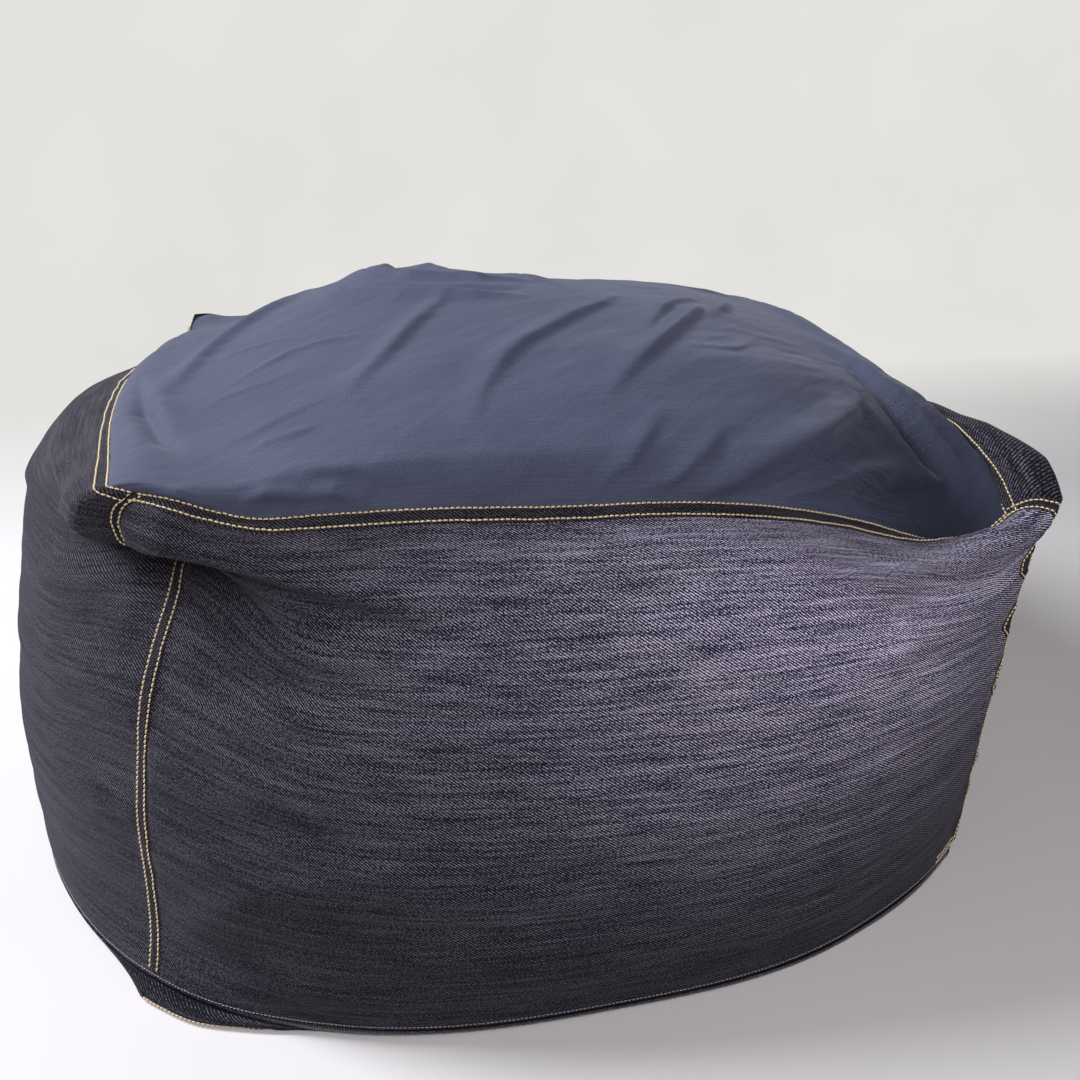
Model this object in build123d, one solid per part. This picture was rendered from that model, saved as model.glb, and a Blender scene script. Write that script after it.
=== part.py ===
"""Bean bag chair: a denim and stretch-knit cover, closed by a zip, over a liner full of beads.

Millimetres. Z is up, the origin is the centre of the base on the floor, and the front faces -Y.
A level section of the bag is four arcs, one for each side, that meet at the corner seams. They are equal at
the zip; above it the right front corner stands out in an ear and the left front one is tucked in.
Cloth layers are nested copies of that section, drawn in by the layers outside them.
"""

import math
import os

from build123d import *

# Outline of the cover: corner seam to corner seam, and how far a side swells past that line
SIDE_SPAN = 610.0
ZIP_SWELL = 100.0
RIM_HEIGHT = 342.0
RIM_FULLNESS = 0.32
RIM_SLOPE = 45.0

# Between zip and rim: levels as shares of the rim's height, how far the corner seams draw together, and as
# shares of the zip's swell: the swell, how far the ear stands out and how deep the tuck is
BELLY_LEVEL = 0.336
BELLY_DRAW = 8.0
BELLY_FULLNESS = 1.12
BELLY_EAR = 0.12
BELLY_TUCK = 0.03
CHEST_LEVEL = 0.629
CHEST_DRAW = 28.0
CHEST_FULLNESS = 1.10
CHEST_EAR = 0.28
CHEST_TUCK = 0.06
SHOULDER_LEVEL = 0.877
SHOULDER_DRAW = 44.0
SHOULDER_FULLNESS = 0.90
SHOULDER_EAR = 0.36
SHOULDER_TUCK = 0.08
RIM_DRAW = 30.0
RIM_EAR = 0.19
RIM_TUCK = 0.08

# Crown of the top panel
CROWN_RISE = 83.0
CROWN_POWER = 1.95
CROWN_STEPS = 6
CROWN_LAST_ANGLE = 86.5
CROWN_ROUNDNESS = 0.42

# Heel of the cover, where the gusset strips turn under to the base panel
HEEL_INSET = 24.0
HEEL_STEPS = 4

# Cloth and thread
DENIM = 1.4
KNIT = 1.0
LINER_CLOTH = 0.8
SEAM_CLOTH = 1.0
SEAM_WIDTH = 11.0
THREAD_WIDTH = 0.8
THREAD_RISE = 0.6
THREAD_SPACING = 6.2
THREAD_EDGE = 2.0
HEM_THREAD = 0.5
HEM_THREAD_EDGE = 2.0
THREAD_LAY = 0.1
LAY_GAP = 0.3

# Zip
ZIP_HEIGHT = 22.0
ZIP_OPENING = 14.0
TAPE_THICKNESS = 0.6
TAPE_WIDTH = 11.0
TAPE_MARGIN = 2.0
COIL_WIDTH = 2.4
COIL_THICKNESS = 2.4
COIL_GAP = 1.2
TAPE_TO_COIL = 0.1
ZIP_END_MARGIN = 12.0

# Zip slider and its pull tab
SLIDER_LENGTH = 12.0
SLIDER_WIDTH = 10.0
SLIDER_TAIL_WIDTH = 8.4
PLATE = 1.2
PLATE_ROUND = 1.5
FLANGE = 1.0
WEB_THICKNESS = 0.6
WEB_LENGTH = 5.0
RUNNING_GAP = 0.4
BRIDGE_LENGTH = 3.6
BRIDGE_WIDTH = 2.4
BRIDGE_WALL = 0.9
BAR_RADIUS = 0.7
BAR_GAP = 0.2
TAB_LENGTH = 26.0
TAB_WIDTH = 7.0
TAB_ARM = 1.4
TAB_THICKNESS = 1.2
TAB_HOLE_RADIUS = 1.5
TAB_HOLE_EDGE = 3.6
STOP_LENGTH = 2.6
STOP_WALL = 0.7
SLIDER_TO_STOP = 0.6

# Liner and filling
LINER_ROOM = 0.8
BEAD_ROOM = 0.7
FILLING_SEAM_LENGTH = 180.0
FILLING_SEAM_WIDTH = 10.0
FILLING_SEAM_OFFSET = 120.0

# Derived places
REACH = SIDE_SPAN + ZIP_SWELL
TALL = RIM_HEIGHT + CROWN_RISE
HEM_FOOT = ZIP_HEIGHT + ZIP_OPENING / 2
HEM_TOP = ZIP_HEIGHT + TAPE_WIDTH + TAPE_MARGIN
GUSSET_TOP = ZIP_HEIGHT - ZIP_OPENING / 2
HEEL_TOP = ZIP_HEIGHT - TAPE_WIDTH - TAPE_MARGIN
HEEL_FOOT = DENIM + LAY_GAP
SIDES = ("front", "right", "back", "left")
CORNERS = ("front_left", "front_right", "back_right", "back_left")
CORNER_TURNS = (-135.0, -45.0, 45.0, 135.0)

# Insets from the outer face of the denim
TAPE_INSET = DENIM + LAY_GAP
COIL_INSET = TAPE_INSET - TAPE_TO_COIL
COIL_FACE = COIL_INSET - COIL_THICKNESS
PLATE_OUT = RUNNING_GAP - COIL_FACE
PLATE_IN = -(TAPE_INSET + TAPE_THICKNESS + RUNNING_GAP)
LINER_INSET = PLATE - PLATE_IN + LINER_ROOM
FILLING_INSET = LINER_INSET + LINER_CLOTH + BEAD_ROOM

RIM_SPAN = SIDE_SPAN - RIM_DRAW
RIM_SWELL = ZIP_SWELL * RIM_FULLNESS
WALL = (
    (HEM_TOP, SIDE_SPAN, ZIP_SWELL, 0.0, 0.0),
    (RIM_HEIGHT * BELLY_LEVEL, SIDE_SPAN - BELLY_DRAW, ZIP_SWELL * BELLY_FULLNESS, BELLY_EAR, BELLY_TUCK),
    (RIM_HEIGHT * CHEST_LEVEL, SIDE_SPAN - CHEST_DRAW, ZIP_SWELL * CHEST_FULLNESS, CHEST_EAR, CHEST_TUCK),
    (
        RIM_HEIGHT * SHOULDER_LEVEL,
        SIDE_SPAN - SHOULDER_DRAW,
        ZIP_SWELL * SHOULDER_FULLNESS,
        SHOULDER_EAR,
        SHOULDER_TUCK,
    ),
    (RIM_HEIGHT, RIM_SPAN, RIM_SWELL, RIM_EAR, RIM_TUCK),
)


def arc_radius(span, swell):
    """Radius of the arc that one side follows between its corner seams."""
    half = span / 2
    return (half**2 + swell**2) / (2 * swell)


def arc_setback(span, swell):
    """How far that arc's centre lies beyond the bag's axis from the side."""
    return arc_radius(span, swell) - span / 2 - swell


def circle_through(first, middle, last):
    """Centre and radius of the circle through three points."""
    (ax, ay), (bx, by), (cx, cy) = first, middle, last
    twice = 2 * (ax * (by - cy) + bx * (cy - ay) + cx * (ay - by))
    a, b, c = ax**2 + ay**2, bx**2 + by**2, cx**2 + cy**2
    x = (a * (by - cy) + b * (cy - ay) + c * (ay - by)) / twice
    y = (a * (cx - bx) + b * (ax - cx) + c * (bx - ax)) / twice
    return x, y, math.hypot(ax - x, ay - y)


def meeting(one, other, near):
    """The point where two circles cross, the one nearer to a given point."""
    (x1, y1, r1), (x2, y2, r2) = one, other
    apart = math.hypot(x2 - x1, y2 - y1)
    ux, uy = (x2 - x1) / apart, (y2 - y1) / apart
    along = (r1**2 - r2**2 + apart**2) / (2 * apart)
    rise = math.sqrt(r1**2 - along**2)
    x, y = x1 + ux * along, y1 + uy * along
    return min(
        ((x - uy * rise, y + ux * rise), (x + uy * rise, y - ux * rise)),
        key=lambda point: math.dist(point, near),
    )


def outline(span, swell, height, inset=0.0, ear=0.0, tuck=0.0):
    """One level section of the bag, every arc drawn in about its own centre."""
    half = span / 2
    out, tucked = half + ear, half - tuck
    corners = ((-tucked, -tucked), (out, -out), (half, half), (-half, half))
    reach = half + swell
    middles = ((0, -reach), (reach, 0), (0, reach), (-reach, 0))
    circles = []
    for k in range(4):
        x, y, radius = circle_through(corners[k], middles[k], corners[(k + 1) % 4])
        circles.append((x, y, radius - inset))
    ends = [meeting(circles[k - 1], circles[k], corners[k]) for k in range(4)]
    arcs = []
    for k, (x, y, radius) in enumerate(circles):
        share = radius / (radius + inset)
        middle = (x + (middles[k][0] - x) * share, y + (middles[k][1] - y) * share)
        points = [(*point, height) for point in (ends[k], middle, ends[(k + 1) % 4])]
        arcs.append(ThreePointArc(*points))
    return Wire(arcs)


def wall_body(inset):
    """The bag from the top of the zip's hem to the rim, as one solid."""
    sections = []
    for height, span, swell, ear, tuck in WALL:
        sections.append(outline(span, swell, height, inset, ZIP_SWELL * ear, ZIP_SWELL * tuck))
    return Solid.make_loft(sections)


def cloth_ring(outer, inner):
    """A layer of cloth round the four sides, from the zip's upper hem to the rim."""
    return zip_ring(outer, inner, HEM_FOOT, HEM_TOP) + (wall_body(outer) - wall_body(inner))


def inner_body(inset, foot, drop):
    """The bag inside the cover, from a foot on the base up to the lowered rim."""
    lower = Solid.make_loft(
        [
            outline(SIDE_SPAN, ZIP_SWELL, foot, HEEL_INSET + inset),
            outline(SIDE_SPAN, ZIP_SWELL, HEEL_TOP, inset),
            outline(SIDE_SPAN, ZIP_SWELL, HEM_TOP, inset),
        ],
        ruled=True,
    )
    return lower + (wall_body(inset) & level_slab(0, RIM_HEIGHT - drop))


def crown_body(inset, drop):
    """The dome over the rim, lowered by drop; its sections grow rounder as they shrink."""
    rim_ratio = 2 * RIM_SWELL / RIM_SPAN
    sections = []
    for step in range(CROWN_STEPS):
        share = math.cos(math.radians(CROWN_LAST_ANGLE * step / (CROWN_STEPS - 1)))
        height = RIM_HEIGHT - drop + CROWN_RISE * (1 - share**CROWN_POWER)
        span = RIM_SPAN * share
        ratio = rim_ratio + (CROWN_ROUNDNESS - rim_ratio) * (1 - share)
        ear, tuck = ZIP_SWELL * RIM_EAR * share, ZIP_SWELL * RIM_TUCK * share
        sections.append(outline(span, span / 2 * ratio, height, inset * share, ear, tuck))
    return Solid.make_loft(sections)


def heel_body(inset):
    """The rounded heel from the base seam up to the zip's lower hem."""
    sections = []
    for step in range(HEEL_STEPS + 1):
        angle = math.pi / 2 * step / HEEL_STEPS
        height = HEEL_FOOT + (HEEL_TOP - HEEL_FOOT) * (1 - math.cos(angle))
        turned_in = HEEL_INSET * (1 - math.sin(angle))
        sections.append(outline(SIDE_SPAN, ZIP_SWELL, height, turned_in + inset))
    sections.append(outline(SIDE_SPAN, ZIP_SWELL, GUSSET_TOP, inset))
    return Solid.make_loft(sections, ruled=True)


def zip_ring(outer, inner, low, high):
    """A band of the zip's height range between two insets."""
    face = Face(outline(SIDE_SPAN, ZIP_SWELL, low, outer), [outline(SIDE_SPAN, ZIP_SWELL, low, inner)])
    return Solid.extrude(face, (0, 0, high - low))


def level_slab(low, high):
    """Everything between two heights."""
    return Pos(0, 0, (low + high) / 2) * Box(2 * REACH, 2 * REACH, high - low)


def corner_slab(turn, width, shift=0.0):
    """An upright slab that runs from the axis out through one corner seam."""
    return Rot(0, 0, turn) * Pos(REACH / 2, shift, TALL / 2) * Box(REACH, width, 2 * TALL)


def side_wedge(turn, margin):
    """The quarter of the bag on one side, without a margin along both its corner seams."""
    tip = margin * math.sqrt(2)
    plan = Polyline((tip, 0), (REACH, REACH - tip), (REACH, tip - REACH), close=True)
    return Rot(0, 0, turn) * extrude(make_face(plan), TALL)


def split_sides(body):
    """A ring of cloth parted at its corner seams, as one solid for each side by name."""
    for turn in CORNER_TURNS:
        body = body - corner_slab(turn, LAY_GAP * 2)
    parted = {}
    for solid in body.solids():
        place = solid.center()
        quarter = round(math.degrees(math.atan2(place.X, -place.Y)) / 90) % 4
        parted[SIDES[quarter]] = solid
    return parted


def without_right_side(body):
    """The zipped run: back, left and front, ending short of the right-hand corner seams."""
    return body - side_wedge(0, -ZIP_END_MARGIN)


def at_zip(piece, along, turn=0.0):
    """A piece drawn at the middle of the back zip run, moved an angle along it and turned to a side."""
    setback = arc_setback(SIDE_SPAN, ZIP_SWELL)
    moved = Pos(0, -setback, 0) * Rot(0, 0, -along) * Pos(0, setback, 0) * piece
    return Rot(0, 0, turn) * moved


def along_angle(distance):
    """Degrees round the zip's arc for a distance along it."""
    return math.degrees(distance / arc_radius(SIDE_SPAN, ZIP_SWELL))


nodes = {}

# Cover: top panel, side panels, gusset strips, hinge strip and base panel
nodes["top_panel"] = crown_body(0, 0) - crown_body(0, KNIT)

side_ring = cloth_ring(0, DENIM) & level_slab(0, RIM_HEIGHT - LAY_GAP)
for side, panel in split_sides(side_ring).items():
    nodes[f"{side}_panel"] = panel

for side, strip in split_sides(heel_body(0) - heel_body(DENIM)).items():
    nodes[f"{side}_gusset"] = strip

hinge_ring = zip_ring(0, DENIM, GUSSET_TOP + LAY_GAP, HEM_FOOT - LAY_GAP)
nodes["base_hinge_strip"] = hinge_ring & side_wedge(0, ZIP_END_MARGIN)

base_edge = outline(SIDE_SPAN, ZIP_SWELL, 0, HEEL_INSET)
nodes["base_panel"] = Solid.extrude(Face(base_edge), (0, 0, DENIM))

# Felled seams, which stand on the outside of the panels they join
seam_layer = cloth_ring(-LAY_GAP - SEAM_CLOTH, -LAY_GAP)
seam_top = RIM_HEIGHT - LAY_GAP
slope_share = math.sin(math.radians(RIM_SLOPE))
seam_drop = SEAM_WIDTH * slope_share
nodes["top_seam"] = seam_layer & level_slab(seam_top - seam_drop, seam_top)

hem_row_foot = HEM_FOOT + HEM_THREAD_EDGE
corner_run = level_slab(hem_row_foot + HEM_THREAD + LAY_GAP, seam_top - seam_drop - LAY_GAP)
corner_layer = seam_layer & corner_run
seam_shift = SEAM_WIDTH / 2 - THREAD_EDGE
for corner, turn in zip(CORNERS, CORNER_TURNS):
    nodes[f"{corner}_seam"] = corner_layer & corner_slab(turn, SEAM_WIDTH, seam_shift)

# Topstitching, two rows to a seam
thread_face = LAY_GAP + SEAM_CLOTH + THREAD_LAY
thread_layer = cloth_ring(-thread_face - THREAD_RISE, -thread_face)
top_rows = []
for row in range(2):
    row_top = seam_top - (THREAD_EDGE + THREAD_SPACING * row) * slope_share
    top_rows.append(thread_layer & level_slab(row_top - THREAD_WIDTH, row_top))
nodes["top_seam_stitching"] = Compound(children=top_rows)

thread_run = thread_layer & corner_run
corner_rows = []
for turn in CORNER_TURNS:
    for row in range(2):
        corner_rows.append(thread_run & corner_slab(turn, THREAD_WIDTH, THREAD_SPACING * row))
nodes["corner_seam_stitching"] = Compound(children=corner_rows)

heel_thread = heel_body(-THREAD_LAY - THREAD_RISE) - heel_body(-THREAD_LAY)
base_row_foot = HEEL_FOOT + THREAD_EDGE
nodes["base_seam_stitching"] = heel_thread & level_slab(base_row_foot, base_row_foot + THREAD_WIDTH)

hem_thread_face = THREAD_LAY + HEM_THREAD
upper_row = zip_ring(-hem_thread_face, -THREAD_LAY, hem_row_foot, hem_row_foot + HEM_THREAD)
lower_row_top = GUSSET_TOP - HEM_THREAD_EDGE
lower_row = zip_ring(-hem_thread_face, -THREAD_LAY, lower_row_top - HEM_THREAD, lower_row_top)
nodes["zip_hem_stitching"] = Compound(
    children=[without_right_side(upper_row), without_right_side(lower_row)]
)

# Zip tapes and coils, along the back, left and front sides
coil_start = COIL_GAP / 2
tape_start = coil_start + LAY_GAP / 2
for name, sign in (("upper", 1), ("lower", -1)):
    tape_edges = sorted((ZIP_HEIGHT + sign * tape_start, ZIP_HEIGHT + sign * TAPE_WIDTH))
    tape = zip_ring(TAPE_INSET, TAPE_INSET + TAPE_THICKNESS, *tape_edges)
    nodes[f"zip_tape_{name}"] = without_right_side(tape)
    coil_edges = sorted(
        (ZIP_HEIGHT + sign * coil_start, ZIP_HEIGHT + sign * (coil_start + COIL_WIDTH))
    )
    nodes[f"zip_coil_{name}"] = without_right_side(zip_ring(COIL_FACE, COIL_INSET, *coil_edges))

# Zip slider: two plates round the coils, joined by a web between them, with a bridge for the tab
zip_middle = arc_radius(SIDE_SPAN, ZIP_SWELL) - arc_setback(SIDE_SPAN, ZIP_SWELL)
slider_seat = Pos(0, zip_middle, ZIP_HEIGHT)
face_out = Plane((0, 0, 0), x_dir=(1, 0, 0), z_dir=(0, 1, 0))
nose = SLIDER_WIDTH / 2
tail = SLIDER_TAIL_WIDTH / 2
plate_edge = Polyline(
    (SLIDER_LENGTH / 2, nose),
    (SLIDER_LENGTH / 2, -nose),
    (-SLIDER_LENGTH / 2, -tail),
    (-SLIDER_LENGTH / 2, tail),
    close=True,
)
plate_plan = make_face(plate_edge)
plate_plan = fillet(plate_plan.vertices(), PLATE_ROUND)
plate = extrude(face_out * plate_plan, PLATE)
plate_top = PLATE_OUT + PLATE
slider = Pos(0, PLATE_OUT, 0) * plate + Pos(0, PLATE_IN - PLATE, 0) * plate
web_depth = PLATE_OUT - PLATE_IN + PLATE
web_middle = (PLATE_OUT + PLATE_IN) / 2
slider = slider + Pos(0, web_middle, 0) * Box(WEB_LENGTH, web_depth, WEB_THICKNESS)
flange_foot = RUNNING_GAP - TAPE_INSET
flange_depth = plate_top - PLATE / 2 - flange_foot
for sign in (1, -1):
    flange_place = Pos(0, flange_foot + flange_depth / 2, sign * (tail - FLANGE / 2))
    slider = slider + flange_place * Box(SLIDER_LENGTH - 2 * PLATE_ROUND, flange_depth, FLANGE)
pivot = plate_top + BAR_RADIUS + BAR_GAP
bridge_top = pivot + BAR_RADIUS + BAR_GAP + BRIDGE_WALL
bridge_foot = plate_top - PLATE / 2
bridge = Pos(0, (bridge_foot + bridge_top) / 2, 0) * Box(
    BRIDGE_LENGTH, bridge_top - bridge_foot, BRIDGE_WIDTH
)
bridge = fillet(bridge.edges().filter_by(Axis.Z).sort_by(Axis.Y)[-2:], BRIDGE_WALL)
slider = slider + bridge - Pos(0, pivot, 0) * Cylinder(BAR_RADIUS + BAR_GAP, SLIDER_WIDTH)

# Pull tab: a bar through the bridge, two arms and a flat grip, lying back along the closed zip
eye_end = math.hypot(BRIDGE_LENGTH / 2, bridge_top - pivot) + RUNNING_GAP
grip_length = TAB_LENGTH - eye_end
grip = Pos(-eye_end - grip_length / 2, 0, 0) * Box(grip_length, TAB_THICKNESS, TAB_WIDTH)
grip = fillet(grip.edges().filter_by(Axis.Y).sort_by(Axis.X)[:2], TAB_WIDTH / 2 - PLATE / 2)
hole = Rot(90, 0, 0) * Cylinder(TAB_HOLE_RADIUS, 2 * TAB_THICKNESS)
grip = grip - Pos(TAB_HOLE_EDGE - TAB_LENGTH, 0, 0) * hole
arm_middle = BRIDGE_WIDTH / 2 + RUNNING_GAP + TAB_ARM / 2
bar_length = 2 * arm_middle + TAB_ARM
tab = grip + Cylinder(BAR_RADIUS, bar_length)
for sign in (1, -1):
    arm = Box(eye_end + TAB_ARM, TAB_THICKNESS, TAB_ARM)
    tab = tab + Pos(-(eye_end + TAB_ARM) / 2, 0, sign * arm_middle) * arm
tab = Pos(0, pivot, 0) * tab

# The slider parks against the top stops, at the right-hand end of the back run
run_half = math.degrees(math.asin(SIDE_SPAN / 2 / arc_radius(SIDE_SPAN, ZIP_SWELL)))
stop_angle = run_half - along_angle(2 * ZIP_END_MARGIN)
stop_spacing = SLIDER_LENGTH / 2 + SLIDER_TO_STOP + STOP_LENGTH / 2
park_angle = stop_angle - along_angle(stop_spacing)
nodes["zip_slider"] = at_zip(slider_seat * slider, park_angle)
nodes["zip_pull_tab"] = at_zip(slider_seat * tab, park_angle)

# Stops crimped over the coils: one on each coil where the slider parks, one on both at the far end
stop_gap = LAY_GAP / 2
stop_depth = COIL_THICKNESS + stop_gap + STOP_WALL
stop_place = stop_gap - COIL_INSET + stop_depth / 2
coil_middle = coil_start + COIL_WIDTH / 2
coil_room = Box(2 * STOP_LENGTH, 2 * COIL_THICKNESS + 2 * stop_gap, COIL_WIDTH + 2 * stop_gap)
top_stops = []
end_width = 2 * (coil_start + COIL_WIDTH + stop_gap + STOP_WALL)
end_stop = Pos(0, stop_place, 0) * Box(STOP_LENGTH, stop_depth, end_width)
for sign in (1, -1):
    width = COIL_WIDTH + 2 * stop_gap + STOP_WALL
    across = sign * (coil_start - stop_gap + width / 2)
    stop = Pos(0, stop_place, across) * Box(STOP_LENGTH, stop_depth, width)
    room = Pos(0, -COIL_INSET, sign * coil_middle) * coil_room
    top_stops.append(at_zip(slider_seat * (stop - room), stop_angle))
    end_stop = end_stop - room
nodes["zip_top_stops"] = Compound(children=top_stops)
nodes["zip_end_stop"] = at_zip(slider_seat * end_stop, -stop_angle, 180)

# Liner: an inner bag sewn from six panels, standing on the base panel
liner_foot = HEEL_FOOT
liner_drop = KNIT + LAY_GAP
liner_crown = crown_body(LINER_INSET, liner_drop)
nodes["liner_top"] = liner_crown - crown_body(LINER_INSET, liner_drop + LINER_CLOTH)
liner_ring = inner_body(LINER_INSET, liner_foot, liner_drop + LAY_GAP)
liner_ring = liner_ring - inner_body(LINER_INSET + LINER_CLOTH, liner_foot, liner_drop + LAY_GAP)
liner_low = liner_foot + LINER_CLOTH + LAY_GAP
liner_ring = liner_ring & level_slab(liner_low, RIM_HEIGHT)
for side, panel in split_sides(liner_ring).items():
    nodes[f"liner_{side}"] = panel
liner_base_edge = outline(SIDE_SPAN, ZIP_SWELL, liner_foot, HEEL_INSET + LINER_INSET)
nodes["liner_base"] = Solid.extrude(Face(liner_base_edge), (0, 0, LINER_CLOTH))

# Filling: a seam that was sewn shut after the beads went in, and the beads as one soft body
seam_seat = liner_foot + LINER_CLOTH
nodes["liner_filling_seam"] = Pos(0, FILLING_SEAM_OFFSET, seam_seat + LINER_CLOTH / 2) * Box(
    FILLING_SEAM_LENGTH, FILLING_SEAM_WIDTH, LINER_CLOTH
)
bead_foot = seam_seat + LINER_CLOTH + LAY_GAP
bead_drop = liner_drop + LINER_CLOTH + LAY_GAP
beads = inner_body(FILLING_INSET, bead_foot, bead_drop)
nodes["bead_filling"] = beads + crown_body(FILLING_INSET, bead_drop)

os.makedirs("parts", exist_ok=True)
for node, body in nodes.items():
    body.label = node
    export_step(body, f"parts/{node}.step")

setback = arc_setback(SIDE_SPAN, ZIP_SWELL)
pivot_radius = arc_radius(SIDE_SPAN, ZIP_SWELL) + pivot
print("slider axis", 0.0, -setback, ZIP_HEIGHT)
print("slider parks at", park_angle, "degrees, travel", 2 * park_angle)
print(
    "tab pivot",
    pivot_radius * math.sin(math.radians(park_angle)),
    pivot_radius * math.cos(math.radians(park_angle)) - setback,
    ZIP_HEIGHT,
)
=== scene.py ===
"""Looks of the bean bag chair: a denim cover with a stretch-knit top, over a liner full of beads.

Metres, in the frame of the solids: Z is up, the front faces -Y, the origin is under the middle of the base.
Corners are LF (left front), RF (right front), BR (back right) and BL (back left). A side's u runs from its
left corner to its right one, seen from outside, and its v from the hem up to the rim.
"""

import math

import bpy
import numpy as np
from mathutils.bvhtree import BVHTree
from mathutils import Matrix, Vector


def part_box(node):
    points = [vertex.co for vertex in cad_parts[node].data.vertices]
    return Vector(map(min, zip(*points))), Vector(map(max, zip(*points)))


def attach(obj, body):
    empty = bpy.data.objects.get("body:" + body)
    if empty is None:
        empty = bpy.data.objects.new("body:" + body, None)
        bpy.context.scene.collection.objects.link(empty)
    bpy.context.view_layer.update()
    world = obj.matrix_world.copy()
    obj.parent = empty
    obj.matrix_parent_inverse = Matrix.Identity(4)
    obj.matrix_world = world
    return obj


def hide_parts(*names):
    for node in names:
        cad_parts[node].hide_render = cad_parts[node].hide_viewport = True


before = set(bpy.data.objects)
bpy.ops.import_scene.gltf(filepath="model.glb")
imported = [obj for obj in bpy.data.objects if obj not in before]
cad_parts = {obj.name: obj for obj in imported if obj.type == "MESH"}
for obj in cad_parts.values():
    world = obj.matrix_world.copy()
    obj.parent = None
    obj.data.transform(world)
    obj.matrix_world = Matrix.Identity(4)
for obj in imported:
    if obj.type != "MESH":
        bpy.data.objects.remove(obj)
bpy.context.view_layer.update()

# Side panels: four pieces of indigo slub denim about 65 by 40 cm, sewn together at the corners and swollen
# by the beads behind them. The left front corner is pinched into a deep fold, the right front one stands
# out in an ear, and everything sags towards the foot.
LEVELS = (0, 0.14, 0.30, 0.46, 0.60, 0.74, 0.86, 1)


def diagonal(sx, sy, rows):
    """Points of a corner seam from (distance along X and Y, height) pairs."""
    return [(sx * a, sy * a, z) for a, z in rows]


CORNER = {
    "LF": diagonal(
        -1,
        -1,
        [(0.302, 0.013), (0.298, 0.066), (0.296, 0.122), (0.290, 0.178)]
        + [(0.280, 0.224), (0.272, 0.266), (0.276, 0.312), (0.282, 0.354)],
    ),
    "RF": diagonal(
        1,
        -1,
        [(0.303, 0.010), (0.308, 0.062), (0.313, 0.112), (0.317, 0.162)]
        + [(0.319, 0.206), (0.321, 0.246), (0.322, 0.274), (0.309, 0.292)],
    ),
    "BR": diagonal(
        1,
        1,
        [(0.305, 0.029), (0.303, 0.075), (0.301, 0.122), (0.298, 0.170)]
        + [(0.293, 0.214), (0.287, 0.258), (0.283, 0.300), (0.286, 0.336)],
    ),
    "BL": diagonal(
        -1,
        1,
        [(0.305, 0.029), (0.302, 0.077), (0.299, 0.128), (0.294, 0.180)]
        + [(0.287, 0.225), (0.278, 0.270), (0.270, 0.312), (0.264, 0.356)],
    ),
}
# How the two front corner seams really run once the cloth is tucked: levels, then points
TUCK = {
    "LF": (
        (0, 0.07, 0.16, 0.30, 0.42, 0.52, 0.60, 0.67, 0.72, 0.755, 0.79, 0.83, 0.88, 0.93, 1),
        [(-0.303, -0.309, 0.012)]
        + diagonal(-1, -1, [(0.299, 0.040), (0.297, 0.075), (0.296, 0.128), (0.290, 0.178)])
        + diagonal(-1, -1, [(0.283, 0.216), (0.272, 0.247), (0.262, 0.270), (0.255, 0.290), (0.251, 0.302)])
        + diagonal(-1, -1, [(0.262, 0.308), (0.279, 0.316)])
        + [(-0.284, -0.286, 0.330), (-0.282, -0.290, 0.342), (-0.270, -0.295, 0.3525)],
    ),
    "RF": (
        (0, 0.10, 0.22, 0.36, 0.48, 0.58, 0.66, 0.75, 0.82, 0.87, 0.91, 0.945, 0.97, 1),
        diagonal(1, -1, [(0.309, 0.012), (0.311, 0.045), (0.312, 0.080), (0.314, 0.127), (0.3165, 0.165)])
        + diagonal(1, -1, [(0.3175, 0.195), (0.3185, 0.220), (0.321, 0.250), (0.3225, 0.272), (0.324, 0.284)])
        + diagonal(1, -1, [(0.328, 0.295), (0.329, 0.302), (0.320, 0.303), (0.308, 0.292)]),
    ),
}
MIDDLE = {
    "front": [(0, -0.403, 0.008), (0, -0.411, 0.055), (0, -0.413, 0.110), (0, -0.409, 0.164)]
    + [(0, -0.400, 0.214), (0, -0.386, 0.260), (0, -0.364, 0.300), (0, -0.331, 0.333)],
    "right": [(0.405, 0, 0.029), (0.411, 0, 0.075), (0.413, 0, 0.125), (0.409, 0, 0.177)]
    + [(0.400, 0, 0.228), (0.387, 0, 0.276), (0.363, 0, 0.317), (0.317, 0, 0.341)],
    "back": [(0, 0.405, 0.029), (0, 0.411, 0.075), (0, 0.412, 0.125), (0, 0.407, 0.177)]
    + [(0, 0.397, 0.228), (0, 0.382, 0.275), (0, 0.355, 0.316), (0, 0.312, 0.345)],
    "left": [(-0.408, 0, 0.012), (-0.413, 0, 0.064), (-0.413, 0, 0.122), (-0.407, 0, 0.182)]
    + [(-0.397, 0, 0.236), (-0.383, 0, 0.288), (-0.356, 0, 0.334), (-0.304, 0, 0.356)],
}
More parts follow.
